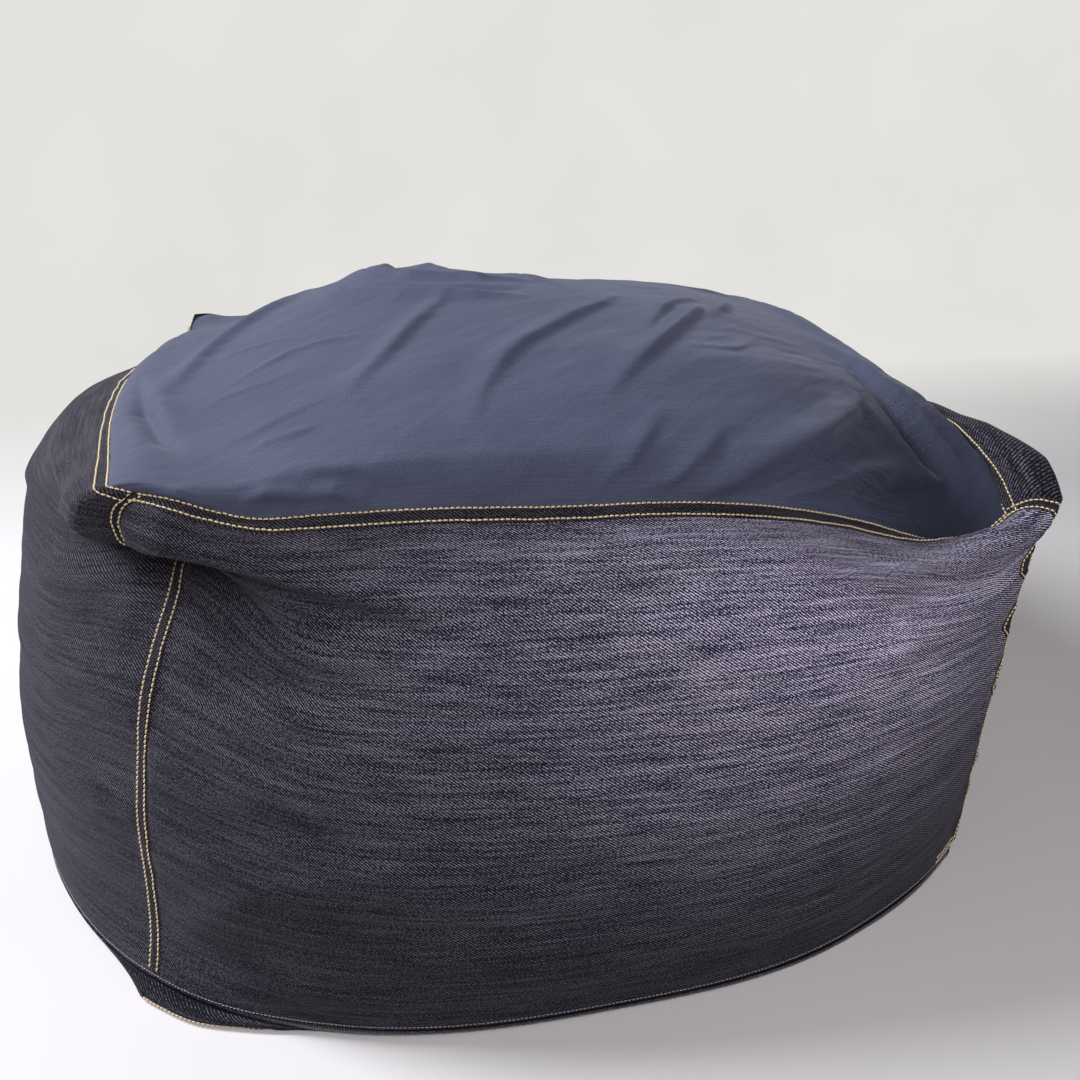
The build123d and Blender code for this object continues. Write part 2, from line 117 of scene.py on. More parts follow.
# The rim, where the denim meets the knit: shares of a side's width, then points
RIM = {
    "front": (
        (0, 0.03, 0.08, 0.13, 0.19, 0.30, 0.44, 0.60, 0.70, 0.80, 0.885, 0.94, 1),
        [(-0.270, -0.295, 0.3525), (-0.254, -0.303, 0.351), (-0.228, -0.308, 0.342), (-0.205, -0.313, 0.337)]
        + [(-0.170, -0.318, 0.338), (-0.110, -0.325, 0.339), (-0.030, -0.330, 0.335), (0.066, -0.329, 0.329)]
        + [(0.128, -0.324, 0.318), (0.190, -0.316, 0.300), (0.248, -0.307, 0.278), (0.287, -0.301, 0.271)]
        + [(0.308, -0.308, 0.292)],
    ),
    "right": (
        (0, 0.06, 0.14, 0.3, 0.5, 0.75, 1),
        [(0.308, -0.308, 0.292), (0.308, -0.282, 0.313), (0.307, -0.235, 0.330), (0.307, -0.13, 0.339)]
        + [(0.306, 0, 0.341), (0.298, 0.15, 0.338), (0.286, 0.286, 0.336)],
    ),
    "back": (
        (0, 0.25, 0.5, 0.75, 0.91, 0.96, 1),
        [(0.286, 0.286, 0.336), (0.15, 0.309, 0.342), (0, 0.314, 0.345), (-0.15, 0.305, 0.346)]
        + [(-0.229, 0.286, 0.348), (-0.250, 0.277, 0.354), (-0.264, 0.264, 0.356)],
    ),
    "left": (
        (0, 0.04, 0.09, 0.3, 0.5, 0.72, 0.88, 0.945, 0.957, 0.969, 1),
        [(-0.264, 0.264, 0.356), (-0.267, 0.242, 0.350), (-0.270, 0.214, 0.344), (-0.286, 0.10, 0.351)]
        + [(-0.301, -0.02, 0.357), (-0.301, -0.14, 0.355)]
        + [(-0.292, -0.235, 0.354), (-0.2875, -0.281, 0.3555), (-0.2865, -0.2895, 0.356)]
        + [(-0.281, -0.2925, 0.3555), (-0.270, -0.295, 0.3525)],
    ),
}
ENDS = {"front": ("LF", "RF"), "right": ("RF", "BR"), "back": ("BR", "BL"), "left": ("BL", "LF")}
# How full a side is near its left and right corners at the hem, and at the rim: 2 is a parabola, more is
# squarer. The other two sides bow on the arc of the zip's back run: half its chord, its rise and its radius.
FULLNESS = {"front": (3.1, 2.6, 2.1), "left": (2.7, 2.7, 2.1)}
ZIP_HALF = 0.305
ZIP_BOW = 0.1
ZIP_ARC = (ZIP_HALF**2 + ZIP_BOW**2) / (2 * ZIP_BOW)
# How far from a tucked corner, and from which level up, the cloth is drawn along
TUCK_REACH = 0.2
DRAWN_FROM = 0.45


def curve(knots, points, t):
    """Smooth curve that passes through points at knots."""
    knots, points, t = np.asarray(knots, float), np.asarray(points, float), np.asarray(t, float)
    gap = np.diff(knots)
    slope = np.diff(points, axis=0) / gap[:, None]
    lead = np.empty_like(points)
    lead[0], lead[-1] = slope[0], slope[-1]
    share = (gap[1:] / (gap[1:] + gap[:-1]))[:, None]
    lead[1:-1] = slope[:-1] * share + slope[1:] * (1 - share)
    i = np.clip(np.searchsorted(knots, t, side="right") - 1, 0, len(knots) - 2)
    x, h = ((t - knots[i]) / gap[i])[..., None], gap[i][..., None]
    return (
        (2 * x**3 - 3 * x**2 + 1) * points[i]
        + (x**3 - 2 * x**2 + x) * h * lead[i]
        + (3 * x**2 - 2 * x**3) * points[i + 1]
        + (x**3 - x**2) * h * lead[i + 1]
    )


def ease(a, b, x):
    """Rises smoothly from 0 at a to 1 at b."""
    x = np.clip((np.asarray(x, float) - a) / (b - a), 0, 1)
    return x * x * (3 - 2 * x)


def swollen(side, u, v):
    """A side swollen between its corner seams, before tucks and before it is drawn to the rim."""
    k = u[..., None]
    first, last = (curve(LEVELS, CORNER[c], v) for c in ENDS[side])
    middle = curve(LEVELS, MIDDLE[side], v)
    if side in FULLNESS:
        first_low, last_low, high = FULLNESS[side]
        low = first_low + (last_low - first_low) * u
        bow = 1 - np.abs(2 * k - 1) ** (low + (high - low) * v)[..., None]
    else:
        bow = np.sqrt(ZIP_ARC**2 - (ZIP_HALF * (2 * k - 1)) ** 2) - np.sqrt(ZIP_ARC**2 - ZIP_HALF**2)
        bow = bow / ZIP_BOW
    return first + (last - first) * k + (middle - (first + last) / 2) * bow


def tucks(side, u, v):
    """How far the tucked corner seams carry the cloth near them."""
    off = np.zeros(u.shape + (3,))
    for c, near in zip(ENDS[side], (u, 1 - u)):
        if c in TUCK:
            shift = curve(*TUCK[c], v) - curve(LEVELS, CORNER[c], v)
            off += shift * (1 - ease(0, TUCK_REACH, near))[..., None]
    return off


def side_at(side, u, v):
    """Points of a side panel's outer face, without folds."""
    u, v = np.asarray(u, float), np.asarray(v, float)
    one = np.ones_like(u)
    at_rim = swollen(side, u, one) + tucks(side, u, one)
    drawn = ease(DRAWN_FROM, 1, v)[..., None] * (curve(*RIM[side], u) - at_rim)
    return swollen(side, u, v) + tucks(side, u, v) + drawn


def unit(a):
    """Vectors of length 1."""
    return a / np.maximum(np.linalg.norm(a, axis=-1, keepdims=True), 1e-12)


def outward(grid):
    """Normals of a grid of points."""
    return unit(np.cross(np.gradient(grid, axis=0), np.gradient(grid, axis=1)))


MM = 1e-3
# Size of the table of random heights, and how far from its edge the cloth's corner lies
LATTICE = (97, 101)
LATTICE_START = 8


def fold(grid, normals, path, rise, width):
    """Heights of a fold along a path of points: its rise at each, and widths to left and right, in mm."""
    near = np.full(grid.shape[:2], np.inf)
    height = np.zeros(grid.shape[:2])
    rise, (left, right) = np.array(rise) * MM, np.array(width) * MM
    for k in range(len(path) - 1):
        a, d = path[k], path[k + 1] - path[k]
        t = np.clip(((grid - a) @ d) / (d @ d), 0, 1)
        off = grid - (a + t[..., None] * d)
        gap = np.linalg.norm(off, axis=-1)
        across = np.where((np.cross(d, off) * normals).sum(-1) > 0, left, right)
        h = (rise[k] + (rise[k + 1] - rise[k]) * t) * np.exp(-((gap / across) ** 2))
        height = np.where(gap < near, h, height)
        near = np.minimum(near, gap)
    return height


def hills(x, y, cell, seed):
    """Smooth random hills between -1 and 1, one to a cell of cell = (width, height)."""
    lattice = np.random.default_rng(seed).uniform(-1, 1, LATTICE)
    gx, gy = x / cell[0] + LATTICE_START, y / cell[1] + LATTICE_START
    i, j = np.floor(gx).astype(int), np.floor(gy).astype(int)
    fx, fy = ease(0, 1, gx - i), ease(0, 1, gy - j)

    def at(p, q):
        return lattice[(i + p) % LATTICE[0], (j + q) % LATTICE[1]]

    low = at(0, 0) * (1 - fx) + at(1, 0) * fx
    high = at(0, 1) * (1 - fx) + at(1, 1) * fx
    return low * (1 - fy) + high * fy


# Folds of the denim: path in (u, v), rise at its points and widths to its left and right, in millimetres
SIDE_FOLDS = {
    "front": [
        ([(0.0, 0.86), (0.05, 0.872), (0.11, 0.882), (0.16, 0.868), (0.25, 0.83), (0.34, 0.79)],
         (3, 12, 11, 9, 5, 0), (24, 5)),
        ([(0.0, 0.775), (0.05, 0.842), (0.10, 0.856), (0.16, 0.838), (0.25, 0.80), (0.32, 0.76)],
         (0, -8, -8, -7, -4, 0), (5, 17)),
        ([(0.885, 0.975), (0.93, 0.968), (0.965, 0.962), (0.99, 0.950)], (0, 7, 10, 5), (9, 8)),
        ([(0.01, 0.60), (0.14, 0.73), (0.29, 0.76), (0.42, 0.75)], (0, 2.2, 1.5, 0), (9, 14)),
        ([(0.01, 0.52), (0.14, 0.66), (0.27, 0.70)], (0, -2.4, 0), (9, 14)),
        ([(0.01, 0.46), (0.16, 0.61), (0.29, 0.64)], (0, 2.0, 0), (9, 14)),
        ([(0.01, 0.36), (0.13, 0.46), (0.26, 0.50)], (0, 2.0, 0), (10, 14)),
        ([(0.01, 0.28), (0.13, 0.39), (0.25, 0.44)], (0, -1.8, 0), (10, 12)),
        ([(0.01, 0.08), (0.12, 0.26), (0.25, 0.35), (0.36, 0.38)], (0, 2.4, 1.8, 0), (12, 16)),
        ([(0.02, 0.04), (0.14, 0.16), (0.30, 0.22)], (0, -2.0, 0), (12, 12)),
        ([(0.98, 0.93), (0.90, 0.915), (0.82, 0.86), (0.72, 0.80)], (0, 6, 3.5, 0), (14, 12)),
        ([(0.99, 0.84), (0.92, 0.84), (0.84, 0.79), (0.76, 0.72)], (0, -4.5, -3, 0), (12, 12)),
        ([(0.99, 0.76), (0.90, 0.76), (0.80, 0.69), (0.70, 0.62)], (0, 3.2, 2.4, 0), (12, 14)),
        ([(0.99, 0.62), (0.88, 0.66), (0.78, 0.58)], (0, -2.2, 0), (12, 12)),
        ([(0.99, 0.48), (0.87, 0.54), (0.76, 0.50)], (0, 2.2, 0), (12, 16)),
        ([(0.99, 0.14), (0.88, 0.26), (0.74, 0.32)], (0, 2.0, 0), (12, 16)),
        ([(0.30, 0.93), (0.45, 0.90), (0.60, 0.93)], (0, 1.6, 0), (9, 14)),
    ],
    "left": [
        ([(1.0, 0.87), (0.93, 0.885), (0.80, 0.86), (0.62, 0.78), (0.5, 0.74)], (3, 9, 9, 5, 0), (10, 26)),
        ([(1.0, 0.755), (0.94, 0.79), (0.82, 0.775), (0.66, 0.71)], (0, -7, -6, 0), (18, 9)),
        ([(0.99, 0.66), (0.90, 0.69), (0.78, 0.64), (0.66, 0.60)], (0, 3.5, 2.5, 0), (12, 12)),
        ([(0.99, 0.58), (0.91, 0.59), (0.82, 0.55)], (0, -2.5, 0), (12, 10)),
        ([(0.99, 0.48), (0.92, 0.51), (0.83, 0.45)], (0, 2.4, 0), (12, 12)),
        ([(0.99, 0.24), (0.94, 0.29), (0.85, 0.24)], (0, 2.2, 0), (12, 12)),
        ([(0.02, 0.88), (0.12, 0.80), (0.25, 0.74)], (3, 5, 0), (16, 12)),
        ([(0.01, 0.76), (0.12, 0.70), (0.22, 0.66)], (0, -4, 0), (12, 12)),
    ],
    "right": [
        ([(0.0, 0.93), (0.06, 0.945), (0.14, 0.945), (0.24, 0.93), (0.36, 0.90)],
         (5, 13, 14, 9, 0), (14, 15)),
        ([(0.02, 0.86), (0.10, 0.82), (0.20, 0.75)], (3, 6, 0), (14, 14)),
        ([(0.01, 0.78), (0.10, 0.75), (0.22, 0.68)], (0, -5, 0), (14, 12)),
        ([(0.01, 0.64), (0.12, 0.66), (0.25, 0.60)], (0, 3.5, 0), (14, 14)),
        ([(0.99, 0.86), (0.88, 0.80), (0.76, 0.72)], (0, 4.5, 0), (14, 14)),
        ([(0.99, 0.76), (0.88, 0.70), (0.78, 0.62)], (0, -3.5, 0), (12, 12)),
        ([(0.01, 0.20), (0.14, 0.30), (0.30, 0.34)], (0, 2.4, 0), (12, 16)),
        ([(0.99, 0.20), (0.86, 0.32), (0.70, 0.36)], (0, 2.4, 0), (16, 12)),
    ],
    "back": [
        ([(0.01, 0.86), (0.12, 0.80), (0.24, 0.72)], (0, 4.5, 0), (14, 14)),
        ([(0.01, 0.74), (0.12, 0.70), (0.24, 0.63)], (0, -3.5, 0), (12, 12)),
        ([(0.99, 0.88), (0.90, 0.82), (0.78, 0.72)], (0, 6, 0), (14, 14)),
        ([(0.99, 0.77), (0.90, 0.73), (0.80, 0.65)], (0, -4.5, 0), (12, 12)),
        ([(0.01, 0.22), (0.13, 0.32), (0.28, 0.36)], (0, 2.4, 0), (12, 16)),
        ([(0.99, 0.20), (0.86, 0.32), (0.72, 0.36)], (0, 2.4, 0), (16, 12)),
    ],
}
SIDE_COLUMNS = 261
SIDE_ROWS = 171
PANEL_WIDTH = 0.65
PANEL_HEIGHT = 0.40
DENIM = 0.0014
# Small creases: how high one stands, and its width and height on the panel. The third kind dies out away from
# the corner seams and the fourth away from the rim, over these distances.
CREASES = [(0.0015, (0.13, 0.024)), (0.0006, (0.06, 0.009)), (0.0016, (0.06, 0.016)), (0.0008, (0.018, 0.05))]
SEAM_DRAG = 0.07
RIM_DRAG = 0.03
# Shares of the width, and of the height at the hem and the rim, over which the sewn edges lie flat
FLAT_SIDE, FLAT_HEM, FLAT_RIM = 0.016, 0.05, 0.026


def side_grid(side, seed):
    """A side panel's outer face with its folds and creases. They die out at its edges, which are sewn."""
    u, v = np.meshgrid(np.linspace(0, 1, SIDE_COLUMNS), np.linspace(0, 1, SIDE_ROWS), indexing="ij")
    grid = side_at(side, u, v)
    normals = outward(grid)
    x, y = u * PANEL_WIDTH, v * PANEL_HEIGHT
    height = np.zeros_like(u)
    for path, rise, width in SIDE_FOLDS[side]:
        height += fold(grid, normals, side_at(side, *np.array(path).T), rise, width)
    near_seam = np.exp(-np.minimum(x, PANEL_WIDTH - x) / SEAM_DRAG)
    near_rim = np.exp(-(PANEL_HEIGHT - y) / RIM_DRAG)
    for k, (where, (rise, cell)) in enumerate(zip((1, 1, near_seam, near_rim), CREASES)):
        height += where * rise * hills(x, y, cell, seed + k)
    sewn = ease(0, FLAT_SIDE, u) * ease(0, FLAT_SIDE, 1 - u) * ease(0, FLAT_HEM, v) * ease(0, FLAT_RIM, 1 - v)
    return grid + normals * (height * sewn)[..., None]


SIDES = {side: side_grid(side, 10 * k) for k, side in enumerate(ENDS)}
SHARP_EDGE = math.radians(50)


def mesh_object(name, points, quads, cloth=None, tris=()):
    """A piece from points, four- and three-cornered faces, and each point's place on the flat cloth."""
    faces = [np.asarray(quads, np.int32).reshape(-1, 4), np.asarray(tris, np.int32).reshape(-1, 3)]
    corners = np.concatenate([f.ravel() for f in faces])
    sizes = np.concatenate([np.full(len(f), f.shape[1]) for f in faces])
    mesh = bpy.data.meshes.new(name)
    mesh.vertices.add(len(points))
    mesh.vertices.foreach_set("co", np.asarray(points, np.float32).ravel())
    mesh.loops.add(len(corners))
    mesh.loops.foreach_set("vertex_index", corners)
    mesh.polygons.add(len(sizes))
    mesh.polygons.foreach_set("loop_start", np.concatenate([[0], np.cumsum(sizes)[:-1]]).astype(np.int32))
    mesh.update(calc_edges=True)
    mesh.shade_smooth()
    mesh.set_sharp_from_angle(angle=SHARP_EDGE)
    if cloth is not None:
        layer = mesh.uv_layers.new(name="cloth")
        layer.data.foreach_set("uv", np.asarray(cloth, np.float32).reshape(-1, 2)[corners].ravel())
    piece = bpy.data.objects.new(name, mesh)
    bpy.context.scene.collection.objects.link(piece)
    return piece


def grid_quads(columns, rows):
    """Faces of a grid of points, and the points round its edge in order."""
    k = np.arange(columns * rows).reshape(columns, rows)
    quads = np.stack([k[:-1, :-1], k[1:, :-1], k[1:, 1:], k[:-1, 1:]], -1).reshape(-1, 4)
    edge = np.concatenate([k[:-1, 0], k[-1, :-1], k[:0:-1, -1], k[0, :0:-1]])
    return quads, edge


def cloth_piece(name, grid, thickness, cloth):
    """A closed sheet: its outer face runs through a grid of points, its inner face a thickness below."""
    columns, rows = grid.shape[:2]
    below = grid - outward(grid) * thickness
    quads, edge = grid_quads(columns, rows)
    n, after = columns * rows, np.roll(edge, -1)
    sides = np.stack([after, edge, edge + n, after + n], -1)
    faces = np.concatenate([quads, quads[:, ::-1] + n, sides])
    points = np.concatenate([grid.reshape(-1, 3), below.reshape(-1, 3)])
    return mesh_object(name, points, faces, np.concatenate([cloth.reshape(-1, 2)] * 2))


def linear(code):
    """Linear colour of an sRGB hex code."""
    parts = [int(code[k : k + 2], 16) / 255 for k in (1, 3, 5)]
    return [c / 12.92 if c <= 0.04045 else ((c + 0.055) / 1.055) ** 2.4 for c in parts] + [1]


def add(tree, kind, inputs=None, output=0, stops=(), **settings):
    """Adds a node and gives back one of its outputs. Inputs are values for its sockets, or sockets to link to
    them; settings are its own values; stops are a colour ramp's (place, colour code) pairs."""
    node = tree.nodes.new("ShaderNode" + kind)
    for name, value in settings.items():
        setattr(node, name, value)
    for name, value in (inputs or {}).items():
        if isinstance(value, bpy.types.NodeSocket):
            tree.links.new(value, node.inputs[name])
        else:
            node.inputs[name].default_value = value
    for k, (place, code) in enumerate(stops):
        band = node.color_ramp.elements
        element = band[k] if k < len(band) else band.new(place)
        element.position, element.color = place, linear(code)
    return node.outputs[output] if node.outputs else None


def material(name):
    """A new material with its node tree, emptied."""
    made = bpy.data.materials.new(name)
    made.use_nodes = True
    made.node_tree.nodes.clear()
    return made, made.node_tree


def grains(tree, vector, size, detail=2, rough=0.5):
    """Random grains about size = (width, height) metres on the cloth."""
    place = add(tree, "Mapping", {"Vector": vector, "Scale": (1 / size[0], 1 / size[1], 1)})
    inputs = {"Vector": place, "Scale": 1.0, "Detail": detail, "Roughness": rough}
    return add(tree, "TexNoise", inputs, "Fac")


def ribs(tree, vector, pitch, turn, wander):
    """Ribs a pitch apart, turned on the cloth, with settings for their wander. A wave's period is pi / 10."""
    scale = [0.1 * math.pi / p for p in np.broadcast_to(pitch, 2)] + [1]
    place = add(tree, "Mapping", {"Vector": vector, "Scale": scale, "Rotation": (0, 0, turn)})
    return add(tree, "TexWave", {"Vector": place, "Scale": 1.0, **wander}, "Fac")


def spot(tree, vector, at, reach, kind):
    """A round spot on the cloth that fades out from its middle: 1 at that place, 0 at its reach."""
    scale = (1 / reach[0], 1 / reach[1], 0)
    middle = (-at[0] / reach[0], -at[1] / reach[1], 0)
    place = add(tree, "Mapping", {"Vector": vector, "Scale": scale, "Location": middle})
    return add(tree, "TexGradient", {"Vector": place}, "Fac", gradient_type=kind)


def sums(tree, terms, start):
    """start plus the sum of (socket - 0.5) * weight."""
    total = start
    for socket, weight in terms:
        mid = add(tree, "Math", {0: socket, 1: 0.5}, operation="SUBTRACT")
        total = add(tree, "Math", {0: mid, 1: weight, 2: total}, operation="MULTIPLY_ADD")
    return total


# Drawn at about twice its real pitch, so that it shows
TWILL_PITCH = 0.0017
TWILL_ANGLE = math.radians(53)
# Where on the cloth the front is paler, partly rubbed and partly painted light, how far that reaches, and the
# value outside it and in its middle; the darker value outside it is painted shade on the other panels. Below
# FOOT_SHADE every panel is a little darker, as painted shade at the foot.
RUB_AND_LIGHT_AT = (0.52, 0.285)
RUB_AND_LIGHT_REACH = (0.57, 0.30)
DIM_AWAY, RUB_AND_LIGHT_PEAK = 0.22, 2.4
FOOT_SHADE = 0.18
DENIM_BUMP = 0.0004


def denim_cloth(name, dark, middle, pale, lift=0.0):
    """Indigo slub denim, raw: slanting twill lines of dark warp, pale flecks of weft that show between them,
    and streaks along the weft where its yarn is thick. Matte and a little fuzzy; paler in front, partly
    rubbed and partly painted light, with painted shade on the other panels and at the foot."""
    made, tree = material(name)
    cloth = add(tree, "UVMap", uv_map="cloth")
    wander = {"Distortion": 1.2, "Detail": 1.0, "Detail Scale": 1.5}
    twill = ribs(tree, cloth, TWILL_PITCH, -TWILL_ANGLE, wander)
    fleck = grains(tree, cloth, (0.0017, 0.0012), 1, 0.7)
    grit = grains(tree, cloth, (0.0009, 0.0008), 1)
    slub = grains(tree, cloth, (0.045, 0.0026), 2)
    band = grains(tree, cloth, (0.17, 0.009), 2)
    worn = grains(tree, cloth, (0.11, 0.07), 2)
    up = add(tree, "SeparateXYZ", {"Vector": cloth}, "Y")
    # Painted shade: the lowest part of every panel is a little darker
    foot = add(tree, "MapRange", {"Value": up, "From Max": FOOT_SHADE})
    weave = [(twill, 1.0), (fleck, 2.0), (grit, 1.2), (slub, 1.15), (band, 0.55), (worn, 0.2), (foot, 0.05)]
    tone = sums(tree, weave, 0.30 + lift)
    woven = add(tree, "ValToRGB", {"Fac": tone}, stops=[(0.0, dark), (0.45, middle), (1.0, pale)])
    # Paler round the front's middle, partly rubbing and partly painted light; painted shade away from it
    rub_and_light = spot(tree, cloth, RUB_AND_LIGHT_AT, RUB_AND_LIGHT_REACH, "QUADRATIC_SPHERE")
    shade = add(tree, "MapRange", {"Value": rub_and_light, "To Min": DIM_AWAY, "To Max": RUB_AND_LIGHT_PEAK})
    colour = add(tree, "HueSaturation", {"Color": woven, "Value": shade})
    height = sums(tree, [(twill, 1.0), (fleck, 0.8), (slub, 0.5)], 0.5)
    bump = add(tree, "Bump", {"Height": height, "Strength": 0.5, "Distance": DENIM_BUMP})
    surface = {"Base Color": colour, "Roughness": 0.9, "Specular IOR Level": 0.18, "Normal": bump}
    fuzz = {"Sheen Weight": 0.12, "Sheen Roughness": 0.5, "Sheen Tint": linear("#b9b4c6")}
    add(tree, "OutputMaterial", {"Surface": add(tree, "BsdfPrincipled", {**surface, **fuzz})})
    return made


DENIM_TONES = ("#0a0b1a", "#45435b", "#c4bfce")
denim = denim_cloth("raw indigo slub denim, woven twill", *DENIM_TONES)


def dress(piece, look, nodes):
    """Gives a piece its material, and puts it in the place of its solid."""
    piece.data.materials.append(look)
    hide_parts(*nodes)
    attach(piece, "bag")
    return piece


def cloth_places(columns, rows, width, height):
    """Places on the flat cloth of a grid's points."""
    x, y = np.meshgrid(np.linspace(0, width, columns), np.linspace(0, height, rows), indexing="ij")
    return np.stack([x, y], -1)


# How far apart the panels lie on the cloth, so that only the front one gets the pale patch of rubbing and
# painted light, and the others the painted shade outside it
CLOTH_STEP = 1.3
for k, (side, grid) in enumerate(SIDES.items()):
    places = cloth_places(SIDE_COLUMNS, SIDE_ROWS, PANEL_WIDTH, PANEL_HEIGHT) + [CLOTH_STEP * k, 0]
    panel = dress(cloth_piece(f"{side}_panel_denim", grid, DENIM, places), denim, [f"{side}_panel"])

# Top panel: one square of slate-navy stretch knit about 65 cm wide, let in below the denim's turned edge and
# domed by the beads. It is highest left of the middle, with drag folds that fan in from the rim.
TOP_LINES = 441
TOP_WIDTH = 0.66
# Height of the dome, and how square it stands across and along: less is squarer. It is squarer to the right,
# most at the right edge, where that sets in between two shares of the way back. It leans right and back.
DOME = 0.069
DOME_ACROSS, DOME_ALONG = 0.53, 0.55
DOME_RIGHT = 0.15
DOME_FAR_RIGHT, FAR_RIGHT_FROM, FAR_RIGHT_TO = 0.19, 0.18, 0.6
DOME_LEAN = (0.06, 0.04)
# Hollows in the dome, and one rise: depth, place and reach in (s, t)
DIPS = [
    (0.011, (0.62, 0.70), (0.12, 0.16)),
    (0.010, (0.19, 0.76), (0.08, 0.16)),
    (0.006, (0.76, 0.84), (0.08, 0.12)),
    (-0.009, (0.40, 0.62), (0.12, 0.25)),
]
KNIT = 0.001


def spanned(edges, corners, s, t):
    """Points stretched between four edges and corners, at shares s to the right and t to the back."""
    front, back, left, right = edges
    front_left, front_right, back_left, back_right = corners
    low = (1 - s) * front_left + s * front_right
    high = (1 - s) * back_left + s * back_right
    return (1 - t) * front + t * back + (1 - s) * left + s * right - ((1 - t) * low + t * high)


def top_at(s, t):
    """Points of the top panel without folds, from left to right and from front to back."""
    s, t = np.asarray(s, float), np.asarray(t, float)
    shares = {"front": s, "back": 1 - s, "left": 1 - t, "right": t}
    edges = [curve(*RIM[side], share) for side, share in shares.items()]
    ends = (("front", 0), ("front", -1), ("back", -1), ("back", 0))
    corners = [np.array(RIM[side][1][end]) for side, end in ends]
    grid = spanned(edges, corners, s[..., None], t[..., None])
    a, b = 2 * s - 1, 2 * t - 1
    far_right = np.maximum(a, 0) ** 2 * ease(FAR_RIGHT_FROM, FAR_RIGHT_TO, t)
    steep = DOME_ACROSS - DOME_RIGHT * a - DOME_FAR_RIGHT * far_right
    rise = (1 - a * a) ** steep * (1 - b * b) ** DOME_ALONG
    grid[..., 2] += DOME * rise * (1 + DOME_LEAN[0] * a + DOME_LEAN[1] * b)
    for depth, place, reach in DIPS:
        grid[..., 2] -= depth * np.exp(-(((s - place[0]) / reach[0]) ** 2) - ((t - place[1]) / reach[1]) ** 2)
    return grid


def lengths(grid):
    """Distances of points along their line. A line's points follow each other on the last axis but one."""
    step = np.linalg.norm(np.diff(grid, axis=-2), axis=-1)
    return np.concatenate([np.zeros_like(step[..., :1]), np.cumsum(step, axis=-1)], axis=-1)


FINE_STEPS = 4001


def even_steps(line, count):
    """Shares along line(share) that lie at even distances on it."""
    fine = (1 - np.cos(np.linspace(0, math.pi, FINE_STEPS))) / 2
    along = lengths(line(fine))
    return np.interp(np.linspace(0, along[-1], count), along, fine)


